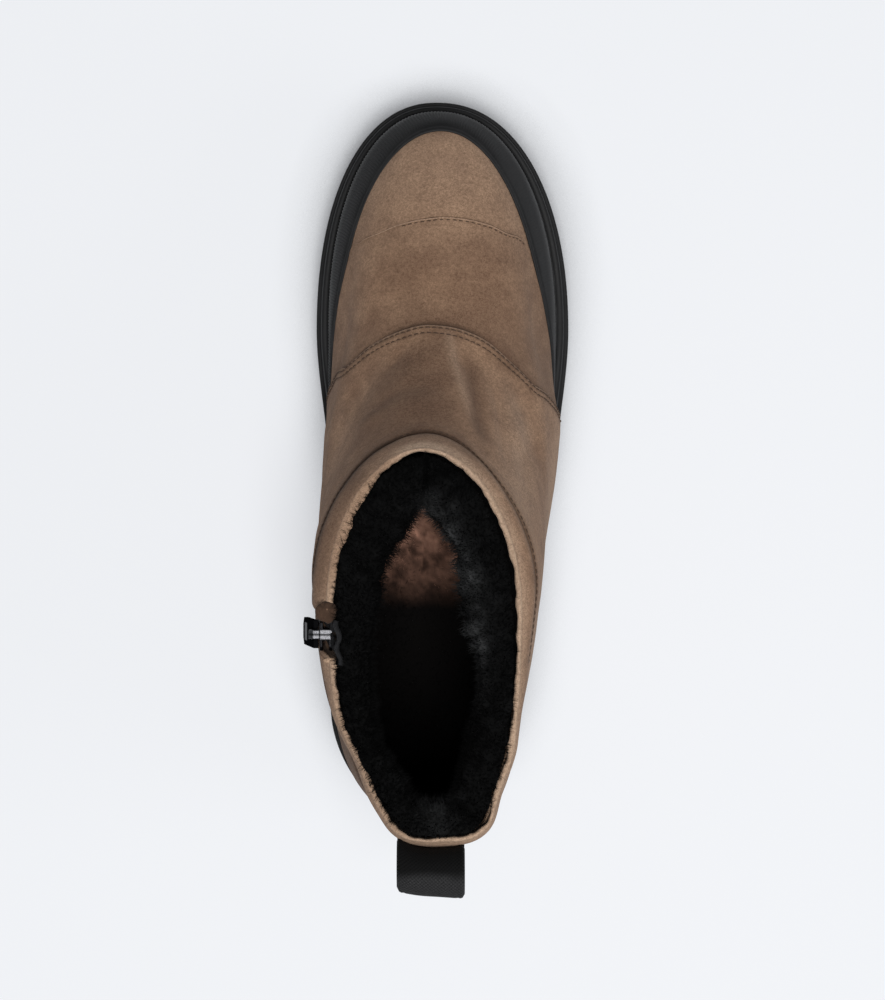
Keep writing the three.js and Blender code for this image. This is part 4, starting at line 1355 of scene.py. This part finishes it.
        # The ridge carries a painted highlight; the tube below it is painted dark as a shadow line.
        for name, start, up, light, dark in (("toe_ridge", -0.82, 0.0, 0.5, 0.0),
                                             ("toe_shadow_line", -0.3, -0.55, 0.0, 0.5)):
            turn = np.linspace(start, 0.82, 220)
            path, normals = self.beside(TOE_SEAM, turn, up)
            path = path + normals * (0.76 + 0.5 * up + self.relief(path))[:, None]
            across = np.cross(normals, unit(np.gradient(path, axis=0)))
            half = 0.19 * np.sin(np.linspace(0.04, math.pi - 0.04, 220)) ** 0.3
            ridge = tube(name, path, across, normals, np.stack([half, half], -1), 8,
                         {"light": light, "seam": dark, "shade": 0.0})
            self.shop.make(ridge, Kind.SUEDE)
        turn = np.linspace(-1.36, math.pi - 0.001, 700)
        path, normals = self.beside(COLLAR_SEAM, turn, -2.2)
        path = path + normals * (0.42 + self.relief(path) - 0.9 * bump(2.2, 1.6))[:, None]
        self.shop.dress(stitches("collar_stitches", path, normals, last.shift), Kind.THREAD)

    def beside(self, seam: Line, turn: Array, up: float) -> tuple[Array, Array]:
        """A line that keeps a distance from a seam, and the outward directions along it.

        Args:
            seam: The seam.
            turn: Turns along it.
            up: Distance, in millimetres; negative below the seam.

        Returns:
            Points on the last's surface and the normals there.
        """
        last = self.shop.last
        level = np.clip(seam.level(turn), 0, RIM)
        points = last.point(turn, level)
        normals = last.normal(turn, level)
        along = unit(np.gradient(points, axis=0))
        side = np.cross(normals, along)
        side = side * np.sign(side[:, 2] + 1e-9)[:, None]
        return points + unit(side) * up, normals

    def build(self) -> None:
        """Builds and dresses every piece."""
        self.vamp()
        self.quarter()
        self.collar_band()
        self.seams()


# ---------------------------------------------------------------- fur and fleece
@dataclass
class Lining:
    """The black fur inside the upper with its crown on the collar, and the fleece insole.

    Attributes:
        shop: The workshop.
        hairs: Hairs in each piece of fur; the deep one has a third of them.
        fleece_hairs: Hairs on the insole.
        seed: Starts the random draws.
    """

    shop: Workshop
    hairs: int = 14000
    fleece_hairs: int = 11000
    seed: int = 7

    def thickness(self, turn: Array, level: Array) -> Array:
        """Depth of the pile's tips behind the last: the wall, thicker in the front corner."""
        inner = 7.5 * bump(turn + 0.7, 0.55)
        outer = 7.5 * bump(turn - 0.66, 0.52)
        rear = 1.5 * bump(turn - 2.7, 0.3) - 3.5 * bump(turn + 2.35, 0.45)
        sides = 4.6 * bump(turn - 1.32, 0.25) + 2.4 * bump(turn + 1.33, 0.2)
        return self.shop.last.wall(level) + (inner + outer + rear + sides) * ease(level, 7, 11.5)

    def crown(self, turn: Array, share: Array) -> Array:
        """The fur over the collar: from the suede's edge (0) in to the wall's inner face (1)."""
        last = self.shop.last
        edge = last.offset(turn, RIM, slack(turn, RIM))
        far = last.inner(turn, np.full_like(turn, RIM), self.thickness(turn, np.full_like(turn, RIM)))
        point = edge + (far - edge) * share[..., None]
        point[..., 2] += 2.9 * np.sin(np.clip(share, 0, 1) * math.pi) ** 0.75 + 0.4
        return point

    def surface(self, turn: Array, travel: Array) -> Array:
        """The pile's tips by turn and travel: below 1 over the crown, then down the wall.

        Travel 0 is the suede's edge, 1 the top of the inner face and 14 the feather line.
        """
        last = self.shop.last
        turn, travel = np.broadcast_arrays(turn, travel)
        level = np.clip(RIM - (travel - 1), 0, RIM)
        down = last.inner(turn, level, self.thickness(turn, level))
        over = self.crown(turn, np.clip(travel, 0, 1))
        return np.where((travel < 1)[..., None], over, down)

    def fluff(self, points: Array) -> tuple[Array, Array]:
        """Clumps of pile: rounded cells of two sizes, how deep between them a point is, and a tone with
        painted shade between clumps and in the front slit, times the painted light of sheen.
        """
        bent = points + 1.3 * np.stack([lattice_noise(points, 5, 31 + k) for k in range(3)], -1)
        near, second, _ = cells(bent, 8.5, 41)
        small, other, _ = cells(bent, 2.6, 42)
        crest = np.clip(second - near, 0, 0.6) / 0.6
        finer = np.clip(other - small, 0, 0.5) / 0.5
        height = 2.3 * crest ** 0.6 + 0.5 * finer + 1.3 * lattice_noise(points, 15, 43) - 0.5
        slit = bump(points[..., 0] + 6.1, 0.8) * ease(points[..., 1], 118, 130)
        # Painted shade between clumps and in the slit; the painted light of sheen scales it.
        soft = 0.3 + 0.6 * crest ** 0.8 + 0.1 * finer
        return height - 2.6 * slit, soft * (1 - slit) * self.sheen(points)

    def sheen(self, points: Array) -> Array:
        """Painted light on the pile: strongest in a band along the outer side's inner edge and in a patch
        at the back, faint elsewhere.
        """
        flat = points * np.array([1, 1, 0.0])
        path = np.array([[-5.4, 131, 0], [0.9, 127, 0], [5.4, 116.6, 0], [8, 107.3, 0], [11, 96, 0],
                         [13, 79, 0], [12, 62, 0.0]])
        gap, along = gap_to(path, flat)
        outer = bump(gap, 4.8) * (1 - 0.6 * ease(along, 0.75, 1)) * (1 + 0.6 * lattice_noise(points, 7, 44))
        back = bump(np.hypot((points[..., 0] + 3) / 7, (points[..., 1] - 17) / 9), 1)
        return 0.011 + 0.2 * np.maximum(outer, 0) + 0.12 * back

    def pile(self) -> Object:
        """The fur's body as one closed ring: its clumpy face and its flat skin side."""
        last = self.shop.last
        turn = evenly(last, 12, -math.pi, math.pi, 1.0)[:-1]
        travel = np.concatenate([np.linspace(0.14, 1, 14), np.linspace(1.08, 5, 40),
                                 np.linspace(5.3, 13.6, 30)])
        turns, travels = np.meshgrid(turn, travel)
        base = self.surface(turns, travels)
        around = np.roll(base, -1, 1) - np.roll(base, 1, 1)
        down = np.gradient(base, axis=0)
        inward = unit(np.cross(down, around))
        middle = np.array([-5.0, 75.0, 120.0])
        if ((middle - base[40]) * inward[40]).sum() < 0:
            inward = -inward
        height, crest = self.fluff(base)
        fade = 1 - ease(travels, 12, 13.4)
        grown = base + inward * ((height - 1.4) * fade)[..., None]
        back_level = RIM - np.clip(travel[::-8] - 1, 0, 13)
        turns_back, levels_back = np.meshgrid(turn, back_level)
        back = last.inner(turns_back, levels_back, np.full_like(levels_back, 3.6))
        points = np.concatenate([grown, back])
        # The tone holds the painted light and shade from fluff; the skin side is left dark.
        tone = np.concatenate([crest * 0.8, np.zeros(levels_back.shape)])
        made = Surface("fur_pile", points, True, True, masks={"tone": tone})
        return self.shop.make(made, Kind.FUR, ("upper",))

    def hair(self, name: str, low: float, high: float, count: int, length: float,
             seed: int) -> Object:
        """Hairs on the pile between two travels, leaning together in tufts.

        Args:
            name: Name of the piece.
            low: First travel.
            high: Last travel.
            count: How many hairs.
            length: Their usual length, in millimetres.
            seed: Starts the random draws.

        Returns:
            The piece.
        """
        last = self.shop.last
        draw = np.random.default_rng(seed)
        grid = np.linspace(-math.pi, math.pi, 2000)
        far = travelled(last.point(grid, 12.5))
        turn = np.interp(draw.random(count) * far[-1], far, grid)
        travel = low + (high - low) * draw.random(count)
        base = self.surface(turn, travel)
        step = 0.02
        around = self.surface(turn + step, travel) - self.surface(turn - step, travel)
        down = self.surface(turn, travel + step) - self.surface(turn, travel - step)
        inward = unit(np.cross(down, around))
        centre = np.array([-5.0, 75.0])
        hollow = unit(np.concatenate([centre - base[:, :2], np.full((count, 1), 25.0)], 1))
        inward *= np.sign((inward * hollow).sum(1))[:, None]
        height, crest = self.fluff(base)
        roots = base + inward * (height - 2.2)[:, None]
        _, _, tuft = cells(base + 0.8 * draw.normal(size=base.shape), 4.2, seed + 5)
        lean = unit(tuft - base + 1e-6) * 0.55
        wild = draw.normal(size=(count, 3))
        size = length * (0.65 + 0.5 * draw.random(count))[:, None]
        direction = unit(inward + 0.42 * lean + 0.26 * wild + np.array([0, 0, 0.12]))
        tips = roots + direction * size
        bend = roots + unit(inward + 0.2 * wild) * size * 0.55
        # Painted light and shade from fluff, varied at random from hair to hair.
        tone = np.clip(crest * (0.6 + 0.5 * draw.random(count)), 0, 1)
        width = 0.085 + 0.065 * draw.random(count)
        return self.shop.dress(spikes(name, roots, bend, tips, width, tone, last.shift), Kind.FUR)

    def insole_surface(self, turn: Array, share: Array) -> Array:
        """The insole's top by turn and share: 0 at its middle line and 1 at its edge."""
        last = self.shop.last
        turn, share = np.broadcast_arrays(turn, share)
        edge = last.inner(turn, np.zeros_like(turn), np.full(turn.shape, 9.6))
        middle_x = np.interp(edge[..., 1], [0, 100, 200, 290], [-5.4, -6.5, -4, -2.5])
        x = middle_x + (edge[..., 0] - middle_x) * share
        return np.stack([x, edge[..., 1], last.sole_top(edge[..., 1]) + 8.35 + 1.3 * share ** 4], -1)

    def insole(self) -> Object:
        """The curly fleece insole: a closed pad with lumps of pile on its top."""
        last = self.shop.last
        turn = evenly(last, 1, -math.pi, math.pi, 1.5)[:-1]
        half = turn[turn >= 0]
        share = np.linspace(-1, 1, 61)
        turns, shares = np.meshgrid(half, share)
        signed = np.where(shares >= 0, turns, -turns)
        top = self.insole_surface(signed, np.abs(shares))
        top[..., 2] += self.curls(top) * (1 - np.abs(shares) ** 10)
        low = top.copy()
        low[..., 2] = last.sole_top(low[..., 1]) + 0.8
        points = np.concatenate([top, low[::-1]])
        # Tone: painted light on the curls' ridges and painted shade between them, random clouds, all darker
        # towards the heel.
        dark = self.darker_to_heel(points)
        tone = np.clip(0.2 + 0.2 * lattice_noise(points, 6, 53) + 0.28 * self.curls(points), 0.08, 1) * dark
        made = Surface("insole_fleece", points, True, False, masks={"tone": tone})
        return self.shop.make(made, Kind.FLEECE, ("insole",))

    def darker_to_heel(self, points: Array) -> Array:
        """Darker towards the heel: 1 in front and 0 behind."""
        return ease(points[..., 1], 88, 116)

    def curls(self, points: Array) -> Array:
        """Lumps of curly fleece: ridges where a bent noise crosses zero, and rounded cells."""
        flat = points * np.array([1, 1, 0.0])
        bent = flat + 1.6 * np.stack([lattice_noise(flat, 4.5, 61 + k) for k in range(3)], -1)
        near, second, _ = cells(bent, 4.6, 64)
        ridge = 1 - np.abs(lattice_noise(bent, 2.4, 65)) * 1.6
        return 1.1 * np.clip(second - near, 0, 0.6) + 0.5 * ridge + 0.5 * lattice_noise(flat, 11, 66)

    def fleece_hair(self) -> Object:
        """Short curled hairs over the insole."""
        last = self.shop.last
        draw = np.random.default_rng(self.seed + 3)
        count = self.fleece_hairs
        turn = draw.random(count) * 2 * math.pi - math.pi
        share = np.sqrt(draw.random(count)) * 0.97
        base = self.insole_surface(turn, share)
        base[:, 2] += self.curls(base) - 0.2
        swirl = np.stack([lattice_noise(base, 3.0, 71 + k) for k in range(3)], -1)
        wild = draw.normal(size=(count, 3)) * 0.5
        direction = unit(np.array([0, 0, 0.55]) + 1.6 * swirl + wild)
        direction[:, 2] = np.abs(direction[:, 2]) * 0.8
        size = (1.4 + 1.3 * draw.random(count))[:, None]
        bend = base + direction * size * 0.6
        tips = bend + unit(direction + 0.9 * np.roll(direction, 1, 1)) * size * 0.5
        patch = ease(lattice_noise(base, 9, 54), -0.2, 0.5)
        tone = np.clip(0.14 + 0.35 * draw.random(count) + 0.4 * patch, 0, 1) * self.darker_to_heel(base)
        width = 0.1 + 0.06 * draw.random(count)
        made = spikes("insole_curls", base, bend, tips, width, tone, last.shift)
        return self.shop.dress(made, Kind.FLEECE)

    def build(self) -> None:
        """Builds and dresses every piece."""
        self.pile()
        self.hair("fur_crown_hair", 0.12, 1.0, self.hairs, 4.6, self.seed)
        self.hair("fur_wall_hair", 0.9, 3.4, self.hairs, 4.8, self.seed + 1)
        self.hair("fur_deep_hair", 3.0, 8.0, self.hairs // 3, 5.2, self.seed + 2)
        self.insole()
        self.fleece_hair()


# ---------------------------------------------------------------- rubber
# y, rise of the rand's top edge above the sole's upper face
RAND_TOP = np.array([[150, 3.5], [175, 6.5], [192, 11], [214, 19], [232, 23.5], [262, 26], [292, 27]])
# toe, heel, toe X, heel X, five inner and five outer widths, then three lengths with their powers
SOLE_RING = (298.4, 0, -2.5, -5.4, 46.8, 46.8, 42, 48.6, 52.7, 29, 31.6, 41.2, 48.6, 52.7, 95, 2.2, 52, 2,
             38, 2)
# inset and height above the sole's upper face, once round the ledge's section
LEDGE = ((-0.05, -6.5), (0.0, -5.2), (0.25, -4.5), (0.7, -4.15), (1.2, -4.2), (1.55, -4.05), (1.8, -3.6),
         (2.05, -1.7), (2.25, -0.6), (2.6, 0.05), (3.1, 0.3), (3.7, 0.34), (4.3, 0.3), (4.7, 0.1),
         (5.0, 0.05), (5.0, -1.2), (3.4, -3.0), (2.0, -7.5), (0.6, -7.5))


@dataclass
class SoleAndRand:
    """The sole unit with its ledge, and the ribbed rand.

    Attributes:
        shop: The workshop.
        thick: Thickness of the rand at the sole.
        edge: Its thickness at the upper edge.
        pitch: From one rib to the next.
        rib: Height of a rib.
    """

    shop: Workshop
    thick: float = 2.4
    edge: float = 1.0
    pitch: float = 1.25
    rib: float = 0.34

    def rand(self) -> Object:
        """The rand: sections from the sole up to its edge, ribbed upright round the toe."""
        last = self.shop.last
        outer_end, inner_end = (float(last.turn_at(1.0, y, side)) for y, side in ((154, 1), (166, -1)))
        turn = evenly(last, 1, inner_end, outer_end, self.pitch / 5)
        coarse = np.linspace(inner_end, outer_end, 260)
        ladder = np.arange(0.4, 5, 0.02)
        turns, levels = np.meshgrid(coarse, ladder)
        spots = last.point(turns, levels)
        rise = spots[..., 2] - LIFT - last.sole_top(spots[..., 1])
        wanted = smooth(RAND_TOP[:, 0], RAND_TOP[:, 1], last.point(coarse, 1.0)[:, 1])
        top = ladder[np.argmax(rise >= wanted, axis=0)]
        top = np.convolve(np.pad(top, 4, mode="edge"), np.ones(9) / 9, "valid")
        top = np.interp(turn, coarse, top)
        share = np.concatenate([np.linspace(0, 0.86, 12), [0.89, 0.915, 0.94, 0.965, 0.985, 1]])
        turns = turn[:, None] * np.ones(len(share))
        levels = top[:, None] * share
        out = LIFT + self.thick + (self.edge - self.thick) * share ** 2
        far = travelled(last.point(turn, 1.0))
        wave = 0.5 + 0.5 * np.cos(math.tau * far / self.pitch)
        where = 0.15 + 0.85 * (1 - ease(turn, 0.15, 0.6))
        upright = (1 - ease(share, 0.86, 0.9)) * ease(share, 0.02, 0.06)
        ribs = self.rib * (wave * where)[:, None] * upright
        lip = -0.35 * bump(share - 0.915, 0.012) - 0.45 * ease(share, 0.965, 1) ** 2
        base = last.point(turns, levels)
        rough = 0.1 * lattice_noise(base, 2.1, 81) * ease(share, 0.9, 1)
        face = last.offset(turns, levels, out + ribs + lip + rough)
        back = last.offset(turns[:, ::-4], levels[:, ::-4], LIFT + 0.1)
        points = np.concatenate([face, back], 1)
        points[:, [0, -1], 2] = last.sole_top(points[:, [0, -1], 1]) + LIFT
        return self.shop.make(Surface("rand_cover", points, False, True, caps=True), Kind.RAND, ("rand",))

    def ledge(self) -> Object:
        """The sole's ledge as one closed ring: outer rib, step, flat and the groove by the upper."""
        last = self.shop.last
        turn = np.linspace(-math.pi, math.pi, 901)[:-1]
        points = []
        for inset, height in LEDGE:
            x, y = last.plan(turn, SOLE_RING, inset)
            points.append(np.stack([x, y, last.sole_top(y) + height], -1))
        return self.shop.make(Surface("sole_ledge", np.array(points), True, True), Kind.SOLE)

    def build(self) -> None:
        """Builds and dresses every piece."""
        self.rand()
        self.ledge()
        self.shop.dress_node("outsole", Kind.SOLE, 0.0005, 2, 35)


# ---------------------------------------------------------------- zip
def tube(name: str, path: Array, across: Array, outward: Array, half: Array, sides: int = 14,
         masks: dict[str, Any] | None = None) -> Surface:
    """An oval tube along a path, closed by fans at both ends.

    Args:
        name: Name of the piece.
        path: Points of its middle line.
        across: Direction of its first half width at each point.
        outward: Direction of its second one.
        half: Both half widths at each point.
        sides: Points round it.
        masks: Numbers for the whole tube, or one for each point of the path.

    Returns:
        The surface.
    """
    turn = np.arange(sides) * math.tau / sides
    ring = (across[:, None] * (half[:, :1] * np.cos(turn))[..., None]
            + outward[:, None] * (half[:, 1:] * np.sin(turn))[..., None])
    points = path[:, None] + ring
    far = travelled(path)
    uv = np.stack(np.broadcast_arrays(turn[None] * half.max() * MM, far[:, None] * MM), -1)
    full = {k: np.broadcast_to(np.reshape(v, (-1, 1)), points.shape[:2]) for k, v in (masks or {}).items()}
    return Surface(name, points, False, True, uv, full, True)


@dataclass
class Zip:
    """The side zip: two tapes, the teeth, folded suede edges, slider and hinged pull tab.

    Attributes:
        shop: The workshop.
        tape: Width of each tape.
        pitch: From one tooth to the next.
        tooth: Half a tooth's size across the zip, along it and through it.
        boxy: Power of the teeth's rounding; a smaller one is more like a box.
    """

    shop: Workshop
    tape: float = 6.0
    pitch: float = 0.72
    tooth: tuple[float, float, float] = (1.75, 0.55, 0.95)
    boxy: float = 0.55

    def at(self, level: Array, across: Array | float, out: Array | float) -> Array:
        """A point beside the zip: across is forward of its line and out is off the suede."""
        last = self.shop.last
        turn = last.turn_at(level, ZIP.y(level) + across, -1)
        return last.offset(turn, level, np.broadcast_to(out, np.shape(level)))

    def frames(self, level: Array) -> tuple[Array, Array, Array]:
        """Directions at levels of the zip: up along it, forward across it, and into the boot."""
        up = unit(self.at(level + 0.05, 0, 0.0) - self.at(level - 0.05, 0, 0.0))
        forward = unit(self.at(level, 0.5, 0.0) - self.at(level, -0.5, 0.0))
        return up, forward, unit(np.cross(up, forward)) * -1

    def tapes(self) -> None:
        """Two woven tapes in the slot, each a flat closed strip."""
        levels = np.linspace(ZIP.low + 0.1, RIM - 0.08, 92)
        for name, side in (("zip_tape_front", 1), ("zip_tape_rear", -1)):
            spread = side * np.linspace(0.5, 0.5 + self.tape, 12)
            rim = np.concatenate([spread, spread[::-1]])
            height = np.concatenate([np.full(12, -1.95), np.full(12, -2.75)])
            height[[0, 11, 12, 23]] = [-2.2, -2.2, -2.6, -2.6]
            grid_level, grid_across = np.meshgrid(levels, rim, indexing="ij")
            points = self.at(grid_level, grid_across, height)
            uv = np.stack([grid_across, grid_level * 10.5], -1) * MM
            self.shop.make(Surface(name, points, False, True, uv, caps=True), Kind.TAPE, ("zip_chain",))

    def teeth(self) -> None:
        """The chain: rounded blocks on alternate sides, each a super-ellipsoid."""
        fine = np.linspace(ZIP.low + 0.2, 11.65, 600)
        far = travelled(self.at(fine, 0, -1.2))
        level = np.interp(np.arange(0.8, far[-1], self.pitch), far, fine)
        up, forward, inward = self.frames(level)
        side = np.where(np.arange(len(level)) % 2 == 0, 1.0, -1.0)
        centre = self.at(level, 0, -1.35) + forward * (side * 0.95)[:, None]
        theta, phi = np.meshgrid(np.linspace(0, math.pi, 6), np.arange(8) * math.tau / 8, indexing="ij")
        pole, reach, rise, sink = (np.sign(v) * np.abs(v) ** self.boxy
                                   for v in (np.cos(theta), np.sin(theta), np.cos(phi), np.sin(phi)))
        points = centre[:, None, None]
        for way, size, part in zip((forward, up, inward), self.tooth, (pole, reach * rise, reach * sink)):
            points = points + way[:, None, None] * (size * part)[..., None]
        places = (points.reshape(-1, 3) + self.shop.last.shift) * MM
        faces = copied(grid_faces(6, 8, False, True), len(level), 48)
        self.shop.dress(mesh_object("zip_teeth", places, [faces]), Kind.TEETH)

    def folds(self) -> None:
        """The suede's folded edges beside the zip, each ending in a rounded tuck on the collar.

        The front tuck is large and wrinkled, with painted shade that is darkest in its wrinkles, and the
        rear one small with painted light. A tuck's half widths follow a half circle along it.
        """
        level = np.linspace(ZIP.low - 0.1, RIM - 0.1, 80)
        t = np.linspace(0.03, 1, 18)
        _, forward, inward = (np.concatenate([way, np.repeat(way[-1:], len(t), 0)])
                              for way in self.frames(level))
        dome = np.sqrt(np.clip(1 - (2 * t - 1) ** 2, 0, 1))
        knob = np.append(ease(level, 12.4, RIM), np.ones(len(t)))
        # name, whether in front, then the tuck's rise, its reach away from the zip and its half widths
        for name, front, rise, away, wide, tall in (("zip_fold_front", 1, 3.6, 1.9, 3.9, 4.0),
                                                    ("zip_fold_rear", 0, 1.1, 0.2, 0.9, 2.3)):
            side = 2 * front - 1
            aside = ZIP.half + 0.4 + (1 - front) * ZIP.flare * ease(level, 11.0, 12.2)
            edge = self.at(level, side * aside, 0.35)
            path = np.concatenate([edge, edge[-1] + t[:, None] * np.array([0.6, side * away, rise])])
            bulb = [np.maximum(end * (1 - t), size * dome) + 0.05
                    for end, size in ((1.2, wide), (0.7, tall))]
            half = np.concatenate([np.tile([1.3, 0.8], (len(level), 1)), np.stack(bulb, -1)])
            half[:len(level)] += 0.1 * lattice_noise(edge, 5, 91)[:, None]
            # Painted shade along the folded edges, heavier over the front tuck, and painted light on the
            # rear tuck.
            masks = {"light": 0.5 * (1 - front) * knob, "shade": 0.35 + (0.65 if front else -0.3) * knob}
            made = tube(name, path, forward, inward, half, 26, masks)
            wrinkle = np.abs(lattice_noise(made.points * np.array([1, 0.55, 1]), 2.2, 94))
            tuck = (front * knob)[:, None]
            # The seam mask paints shade over the front tuck, darkest in its wrinkles.
            made.masks["seam"] = tuck * (0.66 + 0.34 * (1 - ease(wrinkle, 0.03, 0.22)))
            pinch = 2.2 * np.minimum(wrinkle, 0.35) - 0.5 + 0.4 * lattice_noise(made.points, 3.5, 93)
            outwards = unit(made.points - path[:, None] + 1e-6)
            made.points = made.points + outwards * (tuck * pinch)[..., None]
            self.shop.make(made, Kind.SUEDE)

    def facing(self) -> None:
        """A grosgrain strip that stands behind the slider, between it and the fur."""
        y = np.linspace(72.5, 89, 30)
        level = np.full(30, RIM)
        last = self.shop.last
        turn = last.turn_at(level, y, -1)
        foot = last.inner(turn, level, 3.4 + 0.6 * np.sin(y * 0.7))
        path = foot + np.array([0, 0, 1.0]) * (2.0 - 9 * bump(y - 95, 3))[:, None]
        along = unit(np.gradient(path, axis=0))
        upright = np.broadcast_to(np.array([0, 0, 1.0]), path.shape)
        self.shop.make(tube("zip_facing", path, unit(np.cross(along, upright)), upright,
                            np.tile([1.0, 3.2], (30, 1))), Kind.TAPE)

    def build(self) -> None:
        """Builds and dresses every piece."""
        self.tapes()
        self.teeth()
        self.folds()
        self.facing()
        for name, kind in (("zip_slider", Kind.SLIDER), ("zip_pull", Kind.PULL)):
            self.shop.dress_node(name, kind, 0.00028, 3, 25)


# ---------------------------------------------------------------- pull loop
# level beside the heel, distance behind the suede, height above, share of the heel's roundness
LOOP_PATH = np.array([
    [10.4, 0, 0, 1], [10.9, 0, 0, 1], [11.3, 0.9, 0, 1], [11.7, 5.6, 0, 0.7], [12.1, 11.4, 0, 0.4],
    [12.5, 15.2, 0, 0.25], [12.85, 16.8, 0, 0.2], [13, 16.2, 2.6, 0.2], [13, 13.8, 5.2, 0.25],
    [13, 10.6, 6.4, 0.35], [13, 7.2, 5.6, 0.5], [13, 4.6, 3, 0.8], [13, 3.2, 0, 1], [12.7, 2.4, 0, 1],
    [12.45, 2.4, 0, 1]])


@dataclass
class PullLoop:
    """The webbing loop at the back of the collar.

    Attributes:
        shop: The workshop.
        width: Width of the webbing.
        thick: Its thickness.
    """

    shop: Workshop
    width: float = 25.0
    thick: float = 1.7

    def band(self, count: int, across: Array) -> Array:
        """The band's inner line, sampled along its path and across its width."""
        last = self.shop.last
        order = np.linspace(0, len(LOOP_PATH) - 1, count)
        level, behind, above, rounding = (smooth(np.arange(len(LOOP_PATH)), LOOP_PATH[:, c], order)
                                          for c in range(4))
        seam = last.point(np.full(count, math.pi), level)
        angle = np.linspace(0, 1.2, 160)
        rows = []
        for sign in (-1, 1):
            near = last.point(math.pi - sign * angle[None], level[:, None])
            reach = np.abs(near[..., 0] - seam[:, None, 0])
            wanted = np.abs(across[across < 0] if sign < 0 else across[across >= 0])
            rows.append(np.stack([np.interp(wanted, reach[k], near[k, :, 1]) for k in range(count)]))
        suede = np.concatenate(rows, 1)
        back = seam[:, 1:2] + (suede - seam[:, 1:2]) * rounding[:, None]
        x = seam[:, :1] + across[None]
        y = back - behind[:, None] - LIFT - 0.3 - 0.1 * across[None] * (1 - rounding[:, None])
        z = np.broadcast_to((seam[:, 2] + above)[:, None], x.shape)
        return np.stack([x, y, z], -1)

    def build(self) -> None:
        """Builds the loop: one closed band with thicker rounded selvedges."""
        half = self.width / 2
        across = np.linspace(-half, half, 31)
        line = self.band(150, across)
        along = np.gradient(line, axis=0)
        away = unit(np.stack([np.zeros_like(along[..., 0]), -along[..., 2], along[..., 1]], -1))
        share = np.abs(across) / half
        body = self.thick * np.sqrt(np.clip(1 - share ** 14, 0, 1)) + 0.12
        body = body + 0.18 * bump(share - 0.9, 0.06) - 0.12 * bump(share - 0.8, 0.03)
        sag = 0.25 * lattice_noise(line, 9, 95)
        inner = line + away * sag[..., None]
        outer = inner + away * body[None, :, None]
        points = np.concatenate([inner, outer[:, ::-1]], 1)
        u = np.concatenate([across, across[::-1]])
        uv = np.stack(np.broadcast_arrays(u[None], travelled(line[:, 15])[:, None]), -1) * MM
        shade = 0.97 * ease(points[..., 1] + 0.8 * lattice_noise(points, 5, 96), -6.4, -1.5)
        made = Surface("webbing_loop", points, False, True, uv, {"shade": shade}, True)
        self.shop.make(made, Kind.WEBBING, ("pull_loop",))


# ---------------------------------------------------------------- studio
@dataclass
class Studio:
    """Pale floor, soft lamps and a camera straight above the boot.

    Attributes:
        shop: The workshop.
        height: Height of the camera above the floor, in metres.
        aim: Y in the boot's axes that the camera looks down on, in millimetres.
        scale: Image points per metre on the floor, for an image 1000 points high.
    """

    shop: Workshop
    height: float = 1.265
    aim: float = 133.4
    scale: float = 2350.0

    def floor(self) -> None:
        """A plain pale sheet, far wider than the view."""
        places = np.linspace(-3000, 3000, 9)
        x, y = np.meshgrid(places, places, indexing="ij")
        made = Surface("floor", np.stack([x, y, np.full(x.shape, -0.05)], -1)).build(np.zeros(3))
        paper = Paper("Pale paper", (0.29, 0.295, 0.3), (0.295, 0.3, 0.305), 0.9, 3.0)
        made.data.materials.append(paper.make(self.shop.effects))
        if made.data.polygons[0].normal.z < 0:
            made.data.flip_normals()

    def lamp(self, name: str, place: Sequence[float], size: float, watts: float,
             colour: Sequence[float] = (1, 1, 1)) -> None:
        """A soft square lamp that points at the boot's middle."""
        data = bpy.data.lights.new(name, "AREA")
        data.shape, data.size, data.energy, data.color = "SQUARE", size, watts, colour
        made = bpy.data.objects.new(name, data)
        made.location = place
        made.rotation_mode = "QUATERNION"
        made.rotation_quaternion = (Vector((0, 0, 0.05)) - Vector(place)).to_track_quat("-Z", "Y")
        bpy.context.scene.collection.objects.link(made)

    def camera(self) -> None:
        """Looks straight down; its lens gives the scale at the floor."""
        data = bpy.data.cameras.new("camera")
        data.sensor_width = 36
        data.lens = self.height * self.scale / 1000 * data.sensor_width
        data.clip_start, data.clip_end = 0.05, 20
        made = bpy.data.objects.new("camera", data)
        shift = self.shop.last.shift
        made.location = (shift[0] * MM, (self.aim + shift[1]) * MM, self.height)
        bpy.context.scene.collection.objects.link(made)
        bpy.context.scene.camera = made

    def build(self) -> None:
        """Sets the stage."""
        self.floor()
        self.lamp("overhead", (0.08, -0.35, 2.0), 0.55, 38)
        self.lamp("side", (1.5, -0.35, 0.95), 0.8, 4.5)
        world = bpy.data.worlds.new("studio")
        world.use_nodes = True
        backdrop = world.node_tree.nodes["Background"]
        backdrop.inputs["Color"].default_value = (0.93, 0.96, 1, 1)
        backdrop.inputs["Strength"].default_value = 0.15
        bpy.context.scene.world = world
        bpy.context.scene.view_settings.view_transform = "Standard"
        self.camera()


def main() -> None:
    """Builds the boot's sub-assemblies in order, then the studio."""
    logging.basicConfig(level=logging.INFO, format="%(message)s")
    shop = Workshop(Last.packed(), Effects.made())
    for assembly in (SoleAndRand(shop), SuedeUpper(shop), Lining(shop), Zip(shop), PullLoop(shop),
                     Studio(shop)):
        assembly.build()


if __name__ == "__main__":
    main()
